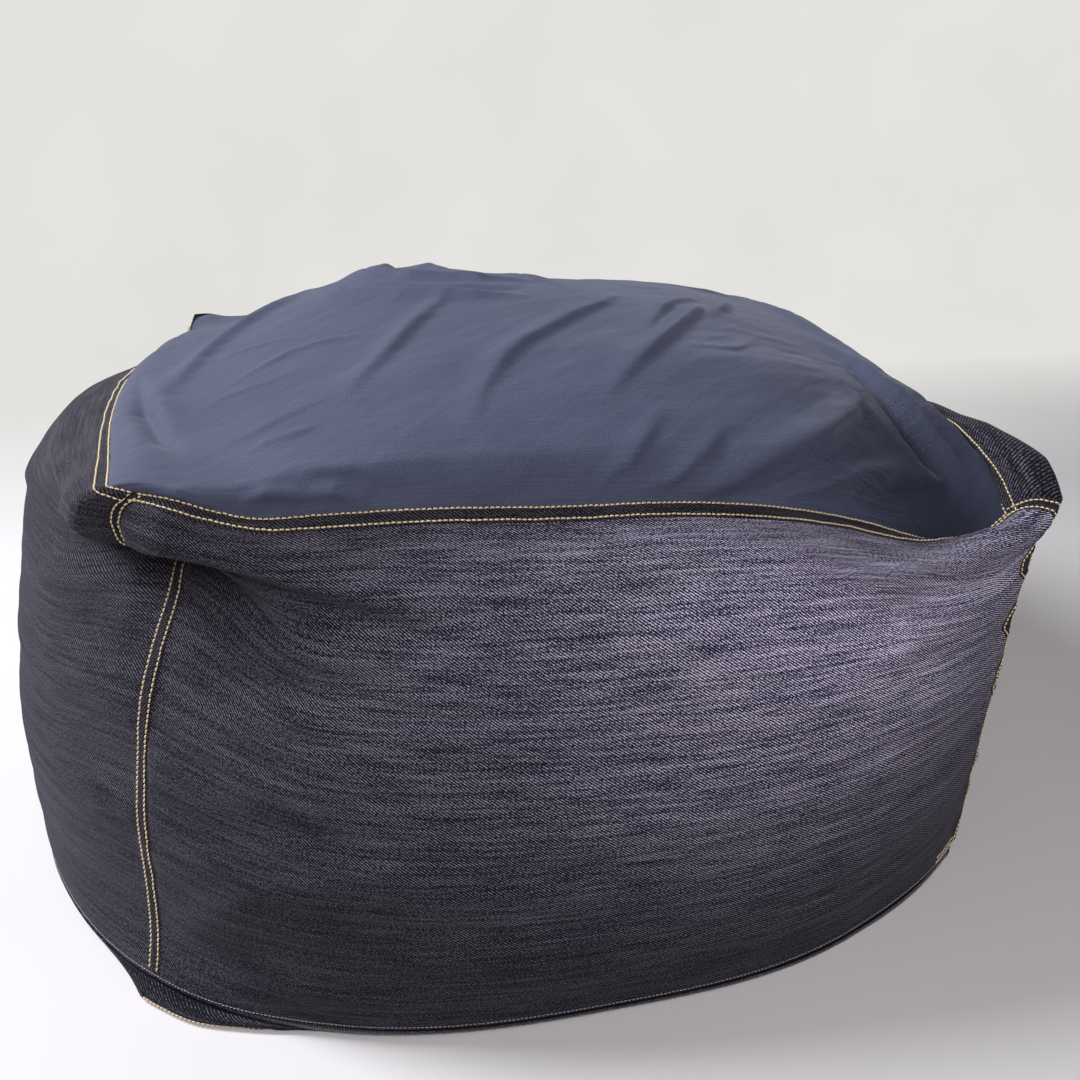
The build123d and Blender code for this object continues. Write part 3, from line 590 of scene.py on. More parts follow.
# Folds of the knit: path in (s, t), rise at its points and widths to its left and right, in millimetres
TOP_FOLDS = [
    ([(0.38, 0.07), (0.42, 0.135), (0.455, 0.18), (0.49, 0.215), (0.55, 0.27), (0.61, 0.33), (0.66, 0.40)],
     (0, 3, 5, 5.5, 5, 3.5, 0), (12, 6)),
    ([(0.53, 0.095), (0.575, 0.14), (0.62, 0.185), (0.67, 0.247), (0.73, 0.33), (0.78, 0.41)],
     (0, 3, 5, 5.5, 4, 0), (11, 6)),
    ([(0.62, 0.215), (0.65, 0.265), (0.69, 0.33), (0.74, 0.395), (0.79, 0.46)], (0, 4, 5, 4, 0), (10, 6)),
    ([(0.58, 0.0), (0.62, 0.006), (0.671, 0.025), (0.729, 0.048), (0.779, 0.073), (0.842, 0.126),
      (0.88, 0.18)],
     (0, 5, 8, 9, 8, 5, 0), (15, 6)),
    ([(0.62, 0.0), (0.68, 0.008), (0.74, 0.028), (0.79, 0.053), (0.83, 0.085)], (0, -3, -4, -4, 0), (4, 10)),
    ([(0.683, 0.003), (0.733, 0.013), (0.787, 0.03), (0.843, 0.047), (0.89, 0.07)],
     (0, 5.5, 7, 5, 0), (10, 5)),
    ([(0.75, 0.004), (0.80, 0.016), (0.85, 0.032), (0.90, 0.045), (0.95, 0.05)], (0, -5, -7, -7, 0), (5, 13)),
    ([(0.533, 0.003), (0.577, 0.013), (0.62, 0.037), (0.66, 0.07)], (0, 3.5, 3, 0), (9, 4)),
    ([(0.493, 0.01), (0.533, 0.027), (0.56, 0.05), (0.60, 0.09)], (0, 2.5, 2.5, 0), (8, 4)),
    ([(0.93, 0.42), (0.958, 0.30), (0.957, 0.207), (0.95, 0.16), (0.947, 0.12), (0.953, 0.09), (0.96, 0.05)],
     (0, 3, 6, 8, 8, 7, 0), (9, 6)),
    ([(0.91, 0.40), (0.935, 0.28), (0.928, 0.207), (0.921, 0.16), (0.918, 0.12), (0.924, 0.09),
      (0.935, 0.04)],
     (0, -3, -6, -9, -10, -8, 0), (6, 10)),
    ([(0.86, 0.28), (0.868, 0.20), (0.875, 0.14), (0.885, 0.09)], (0, 3.5, 3.5, 0), (6, 13)),
    ([(0.27, 0.14), (0.30, 0.18), (0.33, 0.215), (0.372, 0.283), (0.41, 0.345), (0.45, 0.41)],
     (0, 3, 5, 5, 3.5, 0), (11, 6)),
    ([(0.065, 0.26), (0.10, 0.33), (0.14, 0.41), (0.18, 0.48), (0.225, 0.545), (0.28, 0.65)],
     (0, 4, 6, 6.5, 6, 0), (14, 7)),
    ([(0.147, 0.243), (0.20, 0.27), (0.23, 0.287), (0.283, 0.293), (0.36, 0.28)],
     (0, 1.7, 2, 1.7, 0), (5, 3)),
    ([(0.127, 0.367), (0.163, 0.345), (0.223, 0.34), (0.257, 0.317)], (0, 1.6, 1.6, 0), (5, 3)),
    ([(0.10, 0.20), (0.15, 0.215), (0.20, 0.22), (0.25, 0.235)], (0, 1.3, 1.3, 0), (5, 3)),
    ([(0.15, 0.083), (0.18, 0.097), (0.21, 0.10), (0.24, 0.11)], (0, 1.6, 1.6, 0), (5, 3)),
    ([(0.13, 0.107), (0.177, 0.12), (0.22, 0.137), (0.26, 0.15)], (0, 1.6, 1.4, 0), (5, 3)),
    ([(0.12, 0.012), (0.157, 0.025), (0.19, 0.015), (0.217, 0.016), (0.25, 0.004)],
     (0, 3.5, 2, 3, 0), (5, 4)),
    ([(0.16, 0.045), (0.20, 0.05), (0.25, 0.04), (0.30, 0.02)], (0, 2.5, 2, 0), (6, 4)),
    ([(0.02, 0.012), (0.05, 0.012), (0.09, 0.006)], (0, 2.5, 0), (4, 4)),
    ([(0.033, 0.40), (0.043, 0.25), (0.062, 0.15), (0.09, 0.10)], (0, -8, -6, 0), (5, 7)),
    ([(0.06, 0.36), (0.072, 0.235), (0.086, 0.15)], (0, 4, 0), (10, 6)),
    ([(0.267, 0.65), (0.307, 0.47), (0.387, 0.407), (0.467, 0.377), (0.54, 0.37)], (0, 5, 7, 6, 0), (7, 10)),
    ([(0.295, 0.62), (0.335, 0.51), (0.395, 0.45), (0.475, 0.42), (0.55, 0.41)], (0, -7, -9, -8, 0), (6, 7)),
    ([(0.315, 0.65), (0.36, 0.555), (0.41, 0.50), (0.49, 0.465), (0.57, 0.455)], (0, 6, 7, 6, 0), (12, 6)),
    ([(0.35, 0.56), (0.365, 0.64), (0.39, 0.72), (0.42, 0.80)], (0, 5, 7, 0), (12, 6)),
    ([(0.43, 0.66), (0.44, 0.58), (0.465, 0.51), (0.50, 0.44)], (0, 5, 4, 0), (6, 10)),
    ([(0.53, 0.60), (0.56, 0.50), (0.60, 0.42)], (0, 5, 0), (6, 10)),
    ([(0.673, 0.21), (0.733, 0.213), (0.80, 0.28)], (0, 2, 0), (6, 4)),
    ([(0.75, 0.327), (0.80, 0.40), (0.86, 0.52)], (0, 4, 0), (9, 6)),
    ([(0.56, 0.86), (0.62, 0.70), (0.70, 0.58)], (0, 3, 0), (9, 9)),
    ([(0.72, 0.96), (0.76, 0.82), (0.80, 0.70)], (0, 4.5, 0), (9, 9)),
    ([(0.30, 0.96), (0.32, 0.86), (0.37, 0.74)], (0, 4.5, 0), (9, 9)),
    ([(0.12, 0.93), (0.16, 0.82), (0.24, 0.72)], (0, 4, 0), (9, 9)),
    ([(0.97, 0.62), (0.88, 0.64), (0.78, 0.62)], (0, 4, 0), (9, 9)),
    ([(0.96, 0.84), (0.88, 0.80), (0.80, 0.72)], (0, 4, 0), (9, 9)),
]
# Small creases of the knit: height, width and height of one, and how far it is skewed on the cloth. Gathers
# along the sewn edges: height, size, and how far in they reach; over FLAT_EDGE the edge itself lies flat.
KNIT_CREASES = [(0.0010, (0.09, 0.035), (0.6, 0.3), 71), (0.0003, (0.045, 0.010), (0.7, 0.4), 72)]
GATHER, GATHER_SIZE, GATHER_REACH = 0.0014, (0.017, 0.06), 0.018
FLAT_EDGE = 0.012
across = even_steps(lambda k: top_at(k, np.full_like(k, 0.5)), TOP_LINES)
along = even_steps(lambda k: top_at(np.full_like(k, 0.5), k), TOP_LINES)
top_s, top_t = np.meshgrid(across, along, indexing="ij")
TOP = top_at(top_s, top_t)
top_out = outward(TOP)
places = cloth_places(TOP_LINES, TOP_LINES, TOP_WIDTH, TOP_WIDTH)
x, y = places[..., 0], places[..., 1]
height = np.zeros_like(top_s)
for path, rise, width in TOP_FOLDS:
    height += fold(TOP, top_out, top_at(*np.array(path).T), rise, width)
for rise, cell, skew, seed in KNIT_CREASES:
    height += rise * hills(x + skew[0] * y, y - skew[1] * x, cell, seed)
sewn = 1.0
for edge, run, seed in ((y, x, 73), (TOP_WIDTH - y, x, 74), (x, y, 75), (TOP_WIDTH - x, y, 76)):
    height += GATHER * np.exp(-edge / GATHER_REACH) * hills(run, edge, GATHER_SIZE, seed)
    sewn = sewn * ease(0, FLAT_EDGE, edge)
TOP = TOP + top_out * (height * sewn)[..., None]

# The loops of the knit, drawn as coarse as they need to show
WALE, COURSE = 0.0007, 0.0016
DRAG_ANGLE = math.radians(-38)
# Painted shade on the knit in the hollow behind the right front ear: its middle and reach on the cloth
POCKET_SHADE_AT = (0.63, 0.03)
POCKET_SHADE_REACH = (0.2, 0.2)
KNIT_BUMP = 0.0004
KNIT_TONES = [(0.0, "#262b3b"), (0.2, "#3f4456"), (0.5, "#494f63"), (0.9, "#595f75")]


def knit_cloth():
    """Slate-navy stretch jersey, fine-gauge knit: smooth and even, with a soft bloom where it turns away,
    and painted shade in the hollow behind the right front ear.
    """
    made, tree = material("slate stretch jersey, fine knit")
    cloth = add(tree, "UVMap", uv_map="cloth")
    rib = ribs(tree, cloth, (WALE, COURSE), 0, {"Distortion": 0.6})
    fuzz = grains(tree, cloth, (0.0012, 0.0012), 2)
    askew = add(tree, "Mapping", {"Vector": cloth, "Rotation": (0, 0, DRAG_ANGLE)})
    drag = grains(tree, askew, (0.085, 0.0085), 3)
    course = grains(tree, cloth, (0.05, 0.0012), 2)
    cloud = grains(tree, cloth, (0.09, 0.09), 3)
    # Painted shade, darkest behind the right front ear
    pocket_shade = spot(tree, cloth, POCKET_SHADE_AT, POCKET_SHADE_REACH, "SPHERICAL")
    knitted = [(fuzz, 1.1), (course, 0.6), (cloud, 0.35), (drag, 0.3), (rib, 0.05), (pocket_shade, -0.9)]
    colour = add(tree, "ValToRGB", {"Fac": sums(tree, knitted, 0.05)}, stops=KNIT_TONES)
    height = sums(tree, [(rib, 0.6), (fuzz, 0.7), (course, 0.3), (drag, 4.0)], 0.5)
    bump = add(tree, "Bump", {"Height": height, "Strength": 0.5, "Distance": KNIT_BUMP})
    surface = {"Base Color": colour, "Roughness": 0.72, "Specular IOR Level": 0.25, "Normal": bump}
    bloom = {"Sheen Weight": 0.22, "Sheen Roughness": 0.35, "Sheen Tint": linear("#c9cddb")}
    add(tree, "OutputMaterial", {"Surface": add(tree, "BsdfPrincipled", {**surface, **bloom})})
    return made


top = dress(cloth_piece("top_panel_knit", TOP, KNIT, places), knit_cloth(), ["top_panel"])

# Seams: the denim's edges are turned under and felled flat, two layers thick, along the rim and down the four
# corners. Each is a band about 12 mm wide that stands proud of the panels and puckers a little between its
# two rows of stitches.
SEAM_HALF = 0.0058
SEAM_CLOTH = 0.0016
SEAM_PROUD = 0.0013
# How far the edges are sunk into the panels, the distance between a band's rows, and its points across
SEAM_SINK = 0.0001
SEAM_STEP = 0.0011
BAND = np.linspace(-SEAM_HALF, SEAM_HALF, 15)
# Puckers: height, length and width. The stitch rows lie at this share of the half width and dip a little.
PUCKER, PUCKER_LENGTH, PUCKER_WIDTH = 0.00045, 0.0034, 0.004
ROW_AT = 0.62
ROW_DIP, ROW_DIP_REACH = 0.00035, 0.16


def walk(grid, steps):
    """Values at the given distances along each row of a grid (rows along axis 1), held at its ends."""
    along = lengths(grid)
    steps = np.broadcast_to(steps, (len(grid), np.shape(steps)[-1]))
    found = np.empty(steps.shape + grid.shape[2:])
    for r in range(len(grid)):
        for c in range(grid.shape[2]):
            found[r, :, c] = np.interp(steps[r], along[r], grid[r, :, c])
    return found


def respaced(values, line, step):
    """Rows of values respaced evenly along a line of points."""
    along = lengths(line)
    want = np.linspace(0, along[-1], max(2, round(along[-1] / step) + 1))
    flat = values.reshape(len(values), -1)
    found = np.stack([np.interp(want, along, column) for column in flat.T], -1)
    return found.reshape(len(want), *values.shape[1:])


def seam_band(rows, seed):
    """Raises a flat band of rows into a felled seam: rounded edges, and puckers between its stitch rows."""
    rows = respaced(rows, rows[:, rows.shape[1] // 2], SEAM_STEP)
    normals = outward(rows)
    across = np.linspace(-1, 1, rows.shape[1])
    run = np.arange(len(rows))[:, None] * SEAM_STEP
    proud = SEAM_PROUD * (1 - np.abs(across) ** 4) - SEAM_SINK
    wave = hills(run + 0 * across, 0 * run + across * PUCKER_WIDTH, (PUCKER_LENGTH, PUCKER_WIDTH), seed)
    row_dip = np.exp(-(((np.abs(across) - ROW_AT) / ROW_DIP_REACH) ** 2))
    swell = PUCKER * (1 - across**2) * wave - ROW_DIP * row_dip
    return rows + normals * (proud + swell)[..., None]


# The pulled seam of the right front corner swings to and fro: levels, and millimetres towards the right panel
SWING = {
    "front_right": (
        (0, 0.04, 0.10, 0.42, 0.465, 0.495, 0.53, 0.59, 0.625, 0.655, 0.69, 0.735, 0.77, 0.80, 0.835, 1),
        (-4, -1, 8, 8, -4, -4, 6, 6, -4, -4, 6, 6, -4, -4, 4, 0),
    ),
}
# Columns of each panel that a corner's band may reach over
SEAM_REACH = 24


def corner_band(first, last, swing=None):
    """Rows across the seam between the right end of one side and the left end of the next."""
    before = SIDES[first][-SEAM_REACH:].transpose(1, 0, 2)
    after = SIDES[last][1:SEAM_REACH].transpose(1, 0, 2)
    to_seam = lengths(before)[:, -1:]
    if swing:
        levels, shifts = swing
        to_seam = to_seam + np.interp(np.linspace(0, 1, SIDE_ROWS), levels, shifts)[:, None] * MM
    return walk(np.concatenate([before, after], axis=1), to_seam + BAND)


CORNER_SIDES = {
    "front_left": ("left", "front"),
    "front_right": ("front", "right"),
    "back_right": ("right", "back"),
    "back_left": ("back", "left"),
}
# Rows of the panels below a corner's band, which leave room for the zip
ZIP_ROOM = 2
bands = {}
for k, (corner, pair) in enumerate(CORNER_SIDES.items()):
    bands[corner] = seam_band(corner_band(*pair, SWING.get(corner))[ZIP_ROOM:, ::-1], 30 + k)

# Round the rim the band lies on the denim and reaches a little way in over the knit
OVER_KNIT = 0.0022
LIP_POINTS = 3
rim_rows = []
for side in ENDS:
    down = walk(SIDES[side][:, ::-1], np.linspace(0, 2 * SEAM_HALF - OVER_KNIT, len(BAND) - LIP_POINTS))
    lead = unit(down[:, 0] - down[:, 2])
    lip = [down[:, 0] + lead * OVER_KNIT * k / LIP_POINTS for k in range(LIP_POINTS, 0, -1)]
    rim_rows.append(np.concatenate([np.stack(lip, 1), down], axis=1)[:-1])
rim_rows = np.concatenate(rim_rows)
rim_rows = np.concatenate([rim_rows, rim_rows[:1]])
bands["rim"] = seam_band(rim_rows[:, ::-1], 40)

# The seams' place on the cloth, outside the front's pale patch of rubbing and painted light
SEAM_PLACE = [4.1, 2.3]
SEAM_TONES = ("#16161f", "#403c48", "#96929d")
SEAM_LIFT = 0.12
seam_denim = denim_cloth("raw indigo denim, doubled and pressed in a seam", *SEAM_TONES, SEAM_LIFT)


def seam_piece(name, rows):
    """A felled seam from its rows, in the place of its solid."""
    length = SEAM_STEP * len(rows)
    places = cloth_places(len(rows), len(BAND), length, 2 * SEAM_HALF) + SEAM_PLACE
    band = dress(cloth_piece(f"{name}_denim", rows, SEAM_CLOTH, places), seam_denim, [name])


for corner, pair in CORNER_SIDES.items():
    seam_piece(f"{corner}_seam", bands[corner])
seam_piece("top_seam", bands["rim"])

# Topstitching: two rows of thick gold polyester thread on every felled seam, about 7 mm apart, with stitches
# 3.4 mm long that dip into the cloth at their ends.
STITCH = 0.0034
STITCH_GAP = 0.0006
THREAD = 0.00052
THREAD_PROUD = 0.0002
# A stitch's middle stands this many thread radii higher than its ends, which are this share of its girth
STITCH_ARCH = 1.6
STITCH_ENDS = 0.72
STITCH_STRAY = 0.00008
THREAD_SIDES = 6
THREAD_RINGS = 6
# Half the stretch of line that gives a stitch its direction
LINE_NEAR = 0.0004


def rings(centres, across, up, radius):
    """Rings of points round tubes, from their centres and two directions across them."""
    turn = np.linspace(0, 2 * math.pi, THREAD_SIDES, endpoint=False)
    ring = np.cos(turn)[:, None] * across[:, :, None] + np.sin(turn)[:, None] * up[:, :, None]
    return centres[:, :, None] + ring * radius


def stitches(lines, pitch=STITCH, gap=STITCH_GAP, radius=THREAD, proud=THREAD_PROUD):
    """Tubes of the stitches along lines of (points, normals)."""
    tubes = []
    share = np.linspace(0, 1, THREAD_RINGS)
    arch = 1 - (2 * share - 1) ** 4
    girth = radius * (STITCH_ENDS + (1 - STITCH_ENDS) * arch)[None, :, None, None]
    for line, normal in lines:
        along = lengths(line)
        count = max(1, int(along[-1] / pitch))
        at = np.arange(count)[:, None] * pitch + gap / 2 + share * (pitch - gap)
        stray = STITCH_STRAY * np.random.default_rng(len(line)).normal(0, 1, (count, 1))

        def look(values, where):
            return np.stack([np.interp(where, along, values[:, c]) for c in range(3)], -1)

        normals = unit(look(normal, at))
        heading = unit(look(line, at + LINE_NEAR) - look(line, at - LINE_NEAR))
        sideways = unit(np.cross(normals, heading))
        lift = proud + radius * (STITCH_ARCH * arch - 1)
        centres = look(line, at) + normals * lift[..., None] + sideways * stray[..., None]
        tubes.append(rings(centres, sideways, normals, girth))
    return np.concatenate(tubes)


def tube_faces(count, sides):
    """Faces of a tube of rings of points: its wall, and a fan over each end."""
    k = np.arange(count * sides).reshape(count, sides)
    after = np.roll(k, -1, axis=1)
    wall = np.stack([k[:-1], after[:-1], after[1:], k[1:]], -1).reshape(-1, 4)
    j = np.arange(1, sides - 1)
    fan = np.stack([0 * j, j, j + 1], -1)
    return wall, np.concatenate([k[0][fan[:, ::-1]], k[-1][fan]])


# A tube's girth on the cloth, and how far on the next tube lies, in lengths of a stitch
TUBE_GIRTH = 0.002
TUBE_STEP = 1.37


def tube_object(name, tubes):
    """A piece of many closed tubes: an array of (tube, ring, side, 3)."""
    count, length, sides = tubes.shape[:3]
    wall, fans = tube_faces(length, sides)
    first = (np.arange(count) * length * sides)[:, None, None]
    along = np.linspace(0, 1, length)[None, :, None] + np.arange(count)[:, None, None] * TUBE_STEP
    around = np.linspace(0, 1, sides)[None, None, :]
    places = np.stack(np.broadcast_arrays(along * STITCH, around * TUBE_GIRTH), -1)
    quads, tris = ((faces + first).reshape(-1, faces.shape[1]) for faces in (wall, fans))
    return mesh_object(name, tubes.reshape(-1, 3), quads, places, tris)


def seam_lines(rows):
    """The two stitch lines of a raised band, with their normals."""
    normals = outward(rows)
    found = []
    for place in (-ROW_AT, ROW_AT):
        at = (place + 1) / 2 * (rows.shape[1] - 1)
        k = int(at)
        w = at - k
        found.append([values[:, k] * (1 - w) + values[:, k + 1] * w for values in (rows, normals)])
    return found


PLY = 0.0005
PLY_ANGLE = math.radians(50)


def thread_look(name, dark, middle, pale):
    """Polyester sewing thread, three-ply twist: slanting plies along it and a silky gleam."""
    made, tree = material(name)
    cloth = add(tree, "UVMap", uv_map="cloth")
    ply = ribs(tree, cloth, PLY, PLY_ANGLE, {"Distortion": 0.5})
    lot = grains(tree, cloth, (0.021, 0.021), 1)
    tone = sums(tree, [(ply, 0.35), (lot, 0.7)], 0.5)
    colour = add(tree, "ValToRGB", {"Fac": tone}, stops=[(0.15, dark), (0.5, middle), (0.85, pale)])
    bump = add(tree, "Bump", {"Height": ply, "Strength": 0.5, "Distance": 0.0001})
    surface = {"Base Color": colour, "Roughness": 0.55, "Specular IOR Level": 0.4, "Normal": bump}
    gleam = {"Sheen Weight": 0.2, "Sheen Roughness": 0.4}
    add(tree, "OutputMaterial", {"Surface": add(tree, "BsdfPrincipled", {**surface, **gleam})})
    return made


gold = thread_look("gold topstitching thread, twisted polyester", "#c3a26b", "#ead3a4", "#fbf2d8")


def thread_piece(name, lines, look, slot, nodes, **settings):
    """A piece of stitches along lines, in the place of its solid."""
    return dress(tube_object(name, stitches(lines, **settings)), look, nodes)


thread_piece("top_seam_thread", seam_lines(bands["rim"]), gold, "topstitch_thread", ["top_seam_stitching"])
corner_lines = [line for corner in CORNER_SIDES for line in seam_lines(bands[corner])]
thread_piece("corner_seam_thread", corner_lines, gold, "topstitch_thread", ["corner_seam_stitching"])

# Gusset strips: four strips of denim 27 mm wide that run below the zip and turn under to the base panel. The
# belly of the bag rolls over the front strip, and only its left front corner shows.
GUSSET_CLOTH = 0.0012
# For each side, at shares of its width: how far below the hem the coil and the strip's upper edge lie and how
# far in from it, and how far in the strip's heel lies, in millimetres. Below nought is outside the hem.
FOOT = {
    "front": {
        "at": (0, 0.05, 0.10, 0.16, 0.3, 0.6, 0.8, 0.9, 0.96, 1),
        "coil": ((3, 3, 3.5, 4, 4, 4.2, 5.5, 6.5, 5, 3.5), (4, 4, 3, 1.5, 1, 1, 1, 1, 1, 0.5)),
        "strip": ((1.5, 1.5, 3, 5.5, 5.8, 5.8, 7, 8.5, 7, 6), (-0.8, -1, -0.5, 1, 4, 4, 4, 3, 2, 1)),
        "heel": (-9, -13, -5, 5, 16, 24, 24, 24, 22, 20),
    },
    "right": {
        "at": (0, 0.3, 1),
        "coil": ((3.5, 7, 7), (0.5, 0, 0)),
        "strip": ((6, 14, 14), (1, 0, 0)),
        "heel": (20, 24, 24),
    },
    "back": {
        "at": (0, 0.5, 1),
        "coil": ((7, 7, 7), (0, 0, 0)),
        "strip": ((14, 14, 14), (0, 0, 0)),
        "heel": (24, 24, 24),
    },
    "left": {
        "at": (0, 0.3, 0.6, 0.75, 0.85, 0.95, 1),
        "coil": ((7, 5, 3.5, 3, 3, 3, 3), (0, 0.5, 3, 4, 4, 4, 4)),
        "strip": ((14, 9, 3, 1.5, 1.5, 1.5, 1.5), (0, 0, -0.5, -0.8, -0.8, -0.8, -0.8)),
        "heel": (24, 24, 20, 12, 7, 3, -9),
    },
}
# How far the strip turns under beyond its heel, and how much less and how near to the left front corner
TURN_UNDER = 0.011
TIP_LESS, TIP = 0.8, 0.016
# How far out of the heel the strip's bend lies, and how far above the base its bend and its lower edge lie
BEND_OUT, BEND_UP, STRIP_UP = 0.008, 0.001, 0.0002
BASE_TOP = 0.0014
STRIP_ROWS = 15
# Ripples along a strip: height, size of one, and how far they change across the strip
RIPPLE, RIPPLE_SIZE, RIPPLE_ACROSS = 0.0011, (0.035, 0.03), 0.02
# Height of a strip on the cloth. The strips lie there below the front's pale patch, in the painted shade
# outside it, each a step aside and lower.
STRIP_ON_CLOTH, STRIP_BELOW, STRIP_STEP = 0.03, 5.0, (0.5, 1.0)
# The strips' denim is painted darker still, as shade
GUSSET_SHADE_LIFT = -0.15
# Share of a side's width near a corner over which the two hems turn to a common direction
MITRE = 0.05

HEM_OUT = {}
for side in ENDS:
    run = np.gradient(SIDES[side][:, 0], axis=0) * [1, 1, 0]
    HEM_OUT[side] = unit(np.cross(run, [0, 0, 1.0]))
near = (1 - ease(0, MITRE, np.linspace(0, 1, SIDE_COLUMNS)))[:, None]
for first, last in CORNER_SIDES.values():
    mitre = unit(HEM_OUT[first][-1] + HEM_OUT[last][0])
    HEM_OUT[first] = unit(HEM_OUT[first] * (1 - near[::-1]) + mitre * near[::-1])
    HEM_OUT[last] = unit(HEM_OUT[last] * (1 - near) + mitre * near)


def foot_run(side, values):
    """Values in millimetres along a side's hem, in metres."""
    return curve(FOOT[side]["at"], np.array(values)[:, None] * MM, np.linspace(0, 1, SIDE_COLUMNS))


def foot_line(side, kind):
    """The coil's or the strip's line below a side's hem."""
    drop, inset = (foot_run(side, values) for values in FOOT[side][kind])
    return SIDES[side][:, 0] - HEM_OUT[side] * inset - [0, 0, 1] * drop, HEM_OUT[side]


def strip_grid(side):
    """A gusset strip from the base's edge up to the zip, bellied out a little."""
    upper, out = foot_line(side, "strip")
    heel = foot_run(side, FOOT[side]["heel"])
    u = np.linspace(0, 1, SIDE_COLUMNS)[:, None]
    to_tip = {"front": u, "left": 1 - u}.get(side, 1 + 0 * u) * PANEL_WIDTH
    under = TURN_UNDER * (1 - TIP_LESS * np.exp(-((to_tip / TIP) ** 2)))
    flat = SIDES[side][:, 0] * [1, 1, 0]
    lower = (flat - out * (heel + under) + [0, 0, BASE_TOP + STRIP_UP])[:, None]
    bend = (flat - out * (heel - BEND_OUT) + [0, 0, BASE_TOP + BEND_UP])[:, None]
    share = np.linspace(0, 1, STRIP_ROWS)[None, :, None]
    grid = lower * (1 - share) ** 2 + bend * 2 * share * (1 - share) + upper[:, None] * share**2
    return grid, out


# Painted shade: the strips' denim is darker than the panels'
gusset_denim = denim_cloth("raw indigo slub denim, painted darker as shade", *DENIM_TONES, GUSSET_SHADE_LIFT)
x = np.linspace(0, PANEL_WIDTH, SIDE_COLUMNS)[:, None]
share = np.linspace(0, 1, STRIP_ROWS)[None, :]
STRIPS = {}
for k, side in enumerate(ENDS):
    grid, out = strip_grid(side)
    ripple = RIPPLE * hills(x + 0 * share, share * RIPPLE_ACROSS + 0 * x, RIPPLE_SIZE, 90 + k)
    grid = grid + (out[:, None] * (ripple * np.sin(math.pi * share))[..., None])
    grid[..., 2] = np.maximum(grid[..., 2], BASE_TOP)
    STRIPS[side] = grid
    places = cloth_places(SIDE_COLUMNS, STRIP_ROWS, PANEL_WIDTH, STRIP_ON_CLOTH)
    places = places - [STRIP_STEP[0] * k, STRIP_BELOW + STRIP_STEP[1] * k]
    strip = cloth_piece(f"{side}_gusset_denim", grid, GUSSET_CLOTH, places)
    dress(strip, gusset_denim, [f"{side}_gusset"])

# Base hinge: the one side of the base that has no zip. A strip of denim 22 mm wide is sewn behind the right
# hem and the right gusset strip and laps both, and the base folds down on it when it is unzipped.
HINGE_WIDTH, HINGE_ROWS = 0.022, 9
HINGE_BEHIND, HINGE_LAP, HINGE_LOW = 0.0016, 0.004, 0.002
right_out = HEM_OUT["right"]
hinge_low = STRIPS["right"][:, -1] - right_out * HINGE_BEHIND - [0, 0, HINGE_LAP]
hinge_high = SIDES["right"][:, 0] - right_out * HINGE_BEHIND + [0, 0, HINGE_LAP]
share = np.linspace(0, 1, HINGE_ROWS)[None, :, None]
hinge_rows = hinge_low[:, None] * (1 - share) + hinge_high[:, None] * share
hinge_rows[..., 2] = np.maximum(hinge_rows[..., 2], HINGE_LOW)
places = cloth_places(SIDE_COLUMNS, HINGE_ROWS, PANEL_WIDTH, HINGE_WIDTH)
hinge = cloth_piece("base_hinge_denim", hinge_rows, GUSSET_CLOTH, places)
dress(hinge, denim, ["base_hinge_strip"])

# Base panel: a square of the same denim about 70 cm wide, sewn to the lower edges of the gusset strips. It
# lies flat on the floor.
BASE_LINES = 61
BASE_WIDTH = 0.70
# Clearance of the base from the floor
BASE_UP = 0.0001
k = np.linspace(0, SIDE_COLUMNS - 1, BASE_LINES).round().astype(int)
edge = {side: STRIPS[side][k, 0] * [1, 1, 0] for side in ENDS}
front, back, left, right = edge["front"], edge["back"][::-1], edge["left"][::-1], edge["right"]
s, t = (a[..., None] for a in np.meshgrid(*[np.linspace(0, 1, BASE_LINES)] * 2, indexing="ij"))
edges = (front[:, None], back[:, None], left[None], right[None])
base_rows = spanned(edges, (front[0], front[-1], back[0], back[-1]), s, t) + [0, 0, BASE_TOP]
places = cloth_places(BASE_LINES, BASE_LINES, BASE_WIDTH, BASE_WIDTH)
base = cloth_piece("base_panel_denim", base_rows, BASE_TOP - BASE_UP, places)
dress(base, denim, ["base_panel"])

# Base stitching: two rows of the gold thread along each gusset strip, above its seam with the base, and two
# short rows that tack the hem down at the end of the zip, near the right front corner.
STITCH_ROWS = {"front": (4, 6), "right": (2, 4), "back": (2, 4), "left": (2, 4)}
TACK_FROM = 0.95
TACK_ROWS = (0.004, 0.0085)
base_lines = []
for side, rows in STITCH_ROWS.items():
    normals = outward(STRIPS[side])
    base_lines += [(STRIPS[side][:, row], normals[:, row]) for row in rows]
tack_from = round(TACK_FROM * (SIDE_COLUMNS - 1))
front_and_out = (SIDES["front"], outward(SIDES["front"]))
for up in TACK_ROWS:
    base_lines.append([walk(a, (up,))[tack_from:, 0] for a in front_and_out])
thread_piece("base_seam_thread", base_lines, gold, "topstitch_thread", ["base_seam_stitching"], proud=0.0001)

# Zip coils: two bent nylon filaments whose teeth mesh, along the hems of the back, left and front sides. The
# zip is closed all the way, with its slider at the back right.
ZIP_RUN = ("back", "left", "front")
TOOTH_PITCH = 0.0017
TOOTH = 0.0005
# A tooth's bends in millimetres: towards its own tape from the zip's middle, and out from the bag
TOOTH_BENDS = [(2.9, -0.55), (2.2, 0.35), (0.9, 0.68), (-0.5, 0.55), (-0.95, 0.0)]
END_MARGIN = 0.012


def joined(parts):
    """The zip's sides in one run, without repeating the row that two of them share."""
    return np.concatenate([part[:-1] for part in parts[:-1]] + [parts[-1]])


